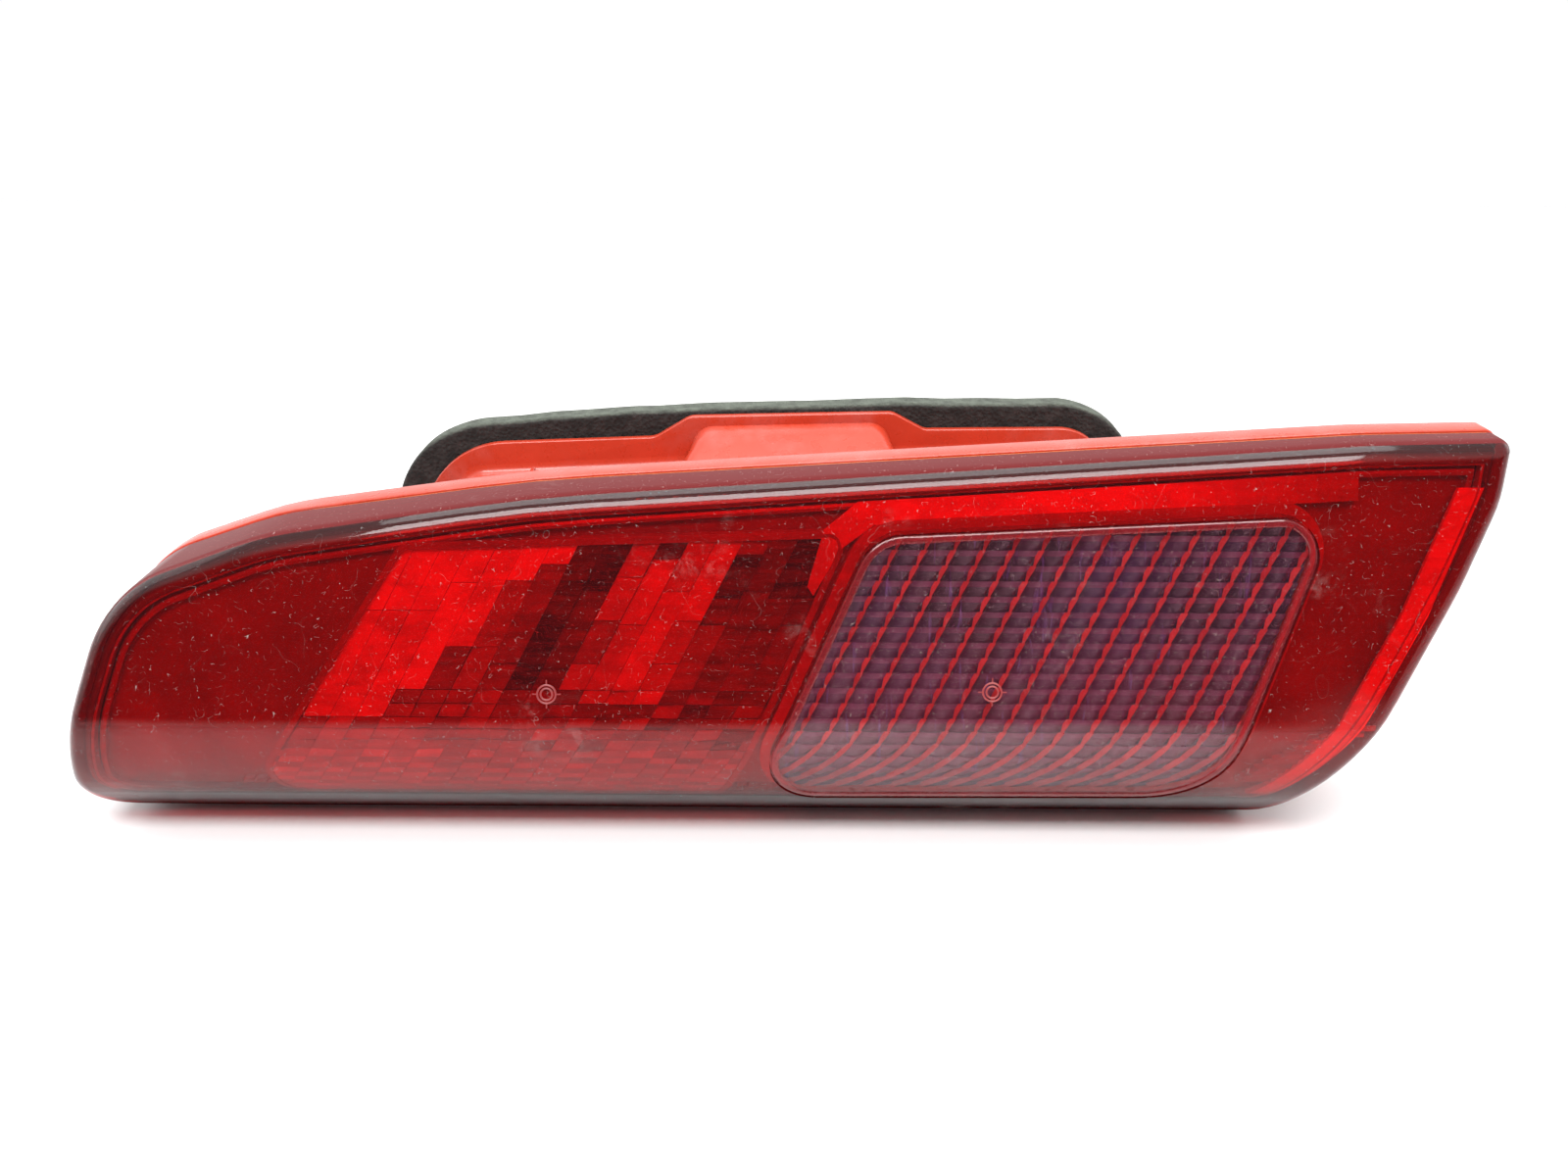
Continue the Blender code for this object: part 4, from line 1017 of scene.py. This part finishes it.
def seal():
    """Foam ring with rounded outer edges, a slightly wavy outline and a skinned inner wall."""
    y_low, y_high = REAR_FACE_Y + GAP, REAR_FACE_Y + GAP + 0.008
    turns = [math.pi / 2 * k / 4 for k in range(5)]
    section = [(0.0015 * (1 - math.sin(a)), y_low + 0.0015 * (1 - math.cos(a))) for a in turns]
    section += [(0.0004, (y_low + y_high) / 2)]
    section += [(0.0015 * (1 - math.cos(a)), y_high - 0.0015 * (1 - math.sin(a))) for a in turns]
    section += [(0.0060, y_high - 0.0002), (0.0127, y_high), (0.0130, y_high - 0.0003), (0.0130, y_low)]
    loops = []
    for distance, y in section:
        loop = []
        points = outline_of(SEAL, distance, math.radians(4))
        for (ax, az), (bx, bz) in zip(points, points[1:] + points[:1]):
            for k in range(4):
                loop.append((ax + (bx - ax) * k / 4, y, az + (bz - az) * k / 4))
        loops.append(loop)
    bm = stack(loops, closed=True)
    for vert in bm.verts:
        if vert.co.z > 0.060:
            vert.co.z -= 0.00022 * (1 + math.sin(vert.co.x * 230) * math.sin(vert.co.x * 91 + 1.0))
            if vert.co.y > y_low + 0.001:
                vert.co.y -= 0.00018 * (1 + math.sin(vert.co.x * 170 + 2.0))
    placed("foam_seal", bm, foam_black, "black_foam", "seal_ring", sharp=50)


# ---------------------------------------------------------------- fasteners
def thread(x, z, y_low, y_high, radius=0.003, pitch=0.001, segments=28, per_turn=8):
    """A threaded rod: its radius follows a helix, with a plain chamfered end."""
    rows = []
    count = round((y_high - y_low) / pitch * per_turn)
    for k in range(count + 1):
        y = y_low + (y_high - y_low) * k / count
        taper = min(1.0, (y_high - y) / 0.0010)
        row = []
        for i in range(segments):
            turn = i / segments
            phase = ((y - y_low) / pitch - turn) % 1.0
            groove = 0.00055 * max(0.0, 1 - abs(phase - 0.5) / 0.42)
            r = min(radius - groove, radius - 0.0008 + 0.0008 * taper)
            angle = 2 * math.pi * turn
            row.append((x + r * math.cos(angle), y, z + r * math.sin(angle)))
        rows.append(row)
    return stack(rows)


def flange_nut(x, z, y):
    hexagon = 0.010 / math.sqrt(3)
    nut = turned([(0, y + 0.0013), (hexagon, y + 0.0013), (hexagon, y + 0.006), (0, y + 0.006)], x, z, 6)
    nut = new_object("nut", nut, zinc)
    crown = [(0, y), (0.0080, y), (0.0080, y + 0.0052), (0.0052, y + 0.00605), (0, y + 0.00605)]
    cut(nut, turned(crown, x, z, 64), operation="INTERSECT")
    collar = [(0, y), (0.0066, y), (0.0068, y + 0.0002), (0.0068, y + 0.0011)]
    collar += [(0.0064, y + 0.0015), (0.0050, y + 0.0021), (0, y + 0.0021)]
    cut(nut, turned(collar, x, z, 64), operation="UNION")
    bore = [(0, y - 0.001), (0.0037, y - 0.001), (0.0037, y), (0.0033, y + 0.0005), (0.0033, y + 0.0055)]
    bore += [(0.0037, y + 0.006), (0.0037, y + 0.007), (0, y + 0.007)]
    cut(nut, turned(bore, x, z, 40))
    soften(nut, 0.00012, 2, 35)
    return nut


def fasteners():
    for number in range(1, len(STUDS) + 1):
        low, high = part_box(f"stud_{number}")
        at_x, at_z = (low.x + high.x) / 2, (low.z + high.z) / 2
        rod = thread(at_x, at_z, low.y, high.y)
        placed(f"threaded_stud_{number}", rod, zinc, "zinc_steel", f"stud_{number}", sharp=60)
        nut = flange_nut(at_x, at_z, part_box(f"flange_nut_{number}")[0].y)
        nut.name = f"chamfered_nut_{number}"
        place(nut, "zinc_steel", f"flange_nut_{number}")


housing()
seal()
fasteners()


def refined(name, width, surface, slot, angle=40):
    """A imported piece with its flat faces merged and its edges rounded."""
    node = frame["nodes"][name]
    bm = bmesh.new()
    bm.from_mesh(node.data)
    bmesh.ops.remove_doubles(bm, verts=bm.verts, dist=1e-6)
    bmesh.ops.dissolve_limit(bm, angle_limit=math.radians(1), verts=bm.verts, edges=bm.edges)
    piece = new_object(name + "_edged", bm, surface)
    soften(piece, width, 2, angle)
    place(piece, slot, name, body=node["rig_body"])
    return piece


refined("bulb_carrier", 0.0003, plastic_grey, "grey_plastic")
refined("latch_arm_left", 0.0002, plastic_grey, "grey_plastic")
refined("latch_arm_right", 0.0002, plastic_grey, "grey_plastic")
refined("connector_header", 0.0003, plastic_black, "black_plastic")
for track in ("earth", "tail", "fog", "reversing"):
    refined("track_" + track, 0.00008, tin, "tinned_metal")


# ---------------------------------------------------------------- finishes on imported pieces
FINISHES = {
    "weld_bead": strip_coral, "housing": body_red, "reflector_left": silver, "reflector_right": silver,
    "seal_ring": foam_black, "carrier_gasket": rubber, "vent_cap": rubber, "bulb_carrier": plastic_grey,
    "latch_arm_left": plastic_grey, "latch_arm_right": plastic_grey, "connector_header": plastic_black,
}
BULB_FINISHES = (("_base", brass), ("_glass", bulb_clear), ("_contact", enamel), ("_filament", tungsten))
for name, node in frame["nodes"].items():
    kind = FINISHES.get(name)
    for ending, surface in BULB_FINISHES:
        if name.endswith(ending):
            kind = surface
    if name.startswith("track_"):
        kind = tin
    if name.startswith(("stud_", "flange_nut_")):
        kind = zinc
    if kind and not node.hide_render:
        node.data.materials.clear()
        node.data.materials.append(kind)


# ---------------------------------------------------------------- studio
def studio():
    floor = bpy.data.meshes.new("floor")
    reach = 1.2
    bm = bmesh.new()
    around = ((-reach, -reach, 0), (reach, -reach, 0), (reach, reach, 0), (-reach, reach, 0))
    bm.faces.new([bm.verts.new(corner) for corner in around])
    bm.to_mesh(floor)
    bm.free()
    ground = bpy.data.objects.new("floor", floor)
    bpy.context.collection.objects.link(ground)
    floor.shade_smooth()
    paper = Finish("floor_paper")
    paper.set(Base_Color=(0.90, 0.895, 0.895), Roughness=0.33, Specular_IOR_Level=0.5)
    floor.materials.append(paper.material)

    def lamp(name, at, towards, size, power, colour=(1.0, 1.0, 1.0)):
        light = bpy.data.lights.new(name, "AREA")
        light.shape = "RECTANGLE"
        light.size, light.size_y = size
        light.energy = power
        light.color = colour
        made = bpy.data.objects.new(name, light)
        bpy.context.collection.objects.link(made)
        made.location = at
        made.rotation_euler = (Vector(towards) - Vector(at)).to_track_quat("-Z", "Y").to_euler()

    lamp("top_panel", (0.0, 0.10, 1.1), (0.0, 0.0, 0.0), (1.2, 0.5), 7.0)
    lamp("front_panel", (0.0, -0.55, 0.95), (0.0, 0.0, 0.04), (1.1, 0.35), 12.0)
    lamp("left_panel", (-1.1, 0.2, 0.6), (0.0, 0.0, 0.05), (0.8, 0.8), 2.2)
    lamp("right_panel", (1.1, 0.2, 0.6), (0.0, 0.0, 0.05), (0.8, 0.8), 2.2)

    world = bpy.data.worlds.new("tent")
    bpy.context.scene.world = world
    world.use_nodes = True
    tree = world.node_tree
    back = tree.nodes["Background"]
    coordinate = tree.nodes.new("ShaderNodeTexCoord").outputs["Generated"]
    split = tree.nodes.new("ShaderNodeSeparateXYZ")
    tree.links.new(coordinate, split.inputs[0])
    shares = []
    for axis, low, high in (("Y", -0.30, -0.60), ("Z", 0.72, 0.50), ("Z", 0.03, 0.12)):
        near = tree.nodes.new("ShaderNodeMapRange")
        near.interpolation_type = "SMOOTHSTEP"
        near.inputs["From Min"].default_value = low
        near.inputs["From Max"].default_value = high
        tree.links.new(split.outputs[axis], near.inputs["Value"])
        shares.append(near.outputs[0])
    patch = shares[0]
    for share in shares[1:]:
        both = tree.nodes.new("ShaderNodeMath")
        both.operation = "MULTIPLY"
        tree.links.new(patch, both.inputs[0])
        tree.links.new(share, both.inputs[1])
        patch = both.outputs[0]
    mixed = tree.nodes.new("ShaderNodeMix")
    mixed.data_type = "RGBA"
    mixed.inputs[6].default_value = (1.0, 1.0, 1.0, 1.0)
    mixed.inputs[7].default_value = (0.09, 0.09, 0.10, 1.0)
    tree.links.new(patch, mixed.inputs[0])
    seen = tree.nodes.new("ShaderNodeLightPath").outputs["Is Camera Ray"]
    final = tree.nodes.new("ShaderNodeMix")
    final.data_type = "RGBA"
    tree.links.new(seen, final.inputs[0])
    tree.links.new(mixed.outputs[2], final.inputs[6])
    final.inputs[7].default_value = (0.96, 0.962, 0.965, 1.0)
    tree.links.new(final.outputs[2], back.inputs["Color"])
    back.inputs["Strength"].default_value = 1.05
    view = bpy.context.scene.view_settings
    view.view_transform = "Standard"
    view.look = "None"
    view.exposure = 0.0


def photo_camera():
    """A phone-like view from in front and above: 24 degrees down, about 0.31 m off."""
    down, turn, roll = math.radians(24.1), math.radians(-0.24), math.radians(0.2)
    ahead = Vector((math.sin(turn) * math.cos(down), math.cos(turn) * math.cos(down), -math.sin(down)))
    level = Vector((math.cos(turn), -math.sin(turn), 0.0))
    upward = level.cross(ahead)
    across = level * math.cos(roll) + upward * math.sin(roll)
    upward = upward * math.cos(roll) - level * math.sin(roll)
    camera = bpy.data.cameras.new("camera")
    camera.lens = 28.77
    camera.sensor_width = 36.0
    camera.clip_start = 0.01
    made = bpy.data.objects.new("camera", camera)
    bpy.context.collection.objects.link(made)
    turned_to = Matrix((across, upward, -ahead)).transposed().to_4x4()
    made.matrix_world = Matrix.Translation((0.0026, -0.3146, 0.1872)) @ turned_to
    bpy.context.scene.camera = made


studio()
photo_camera()
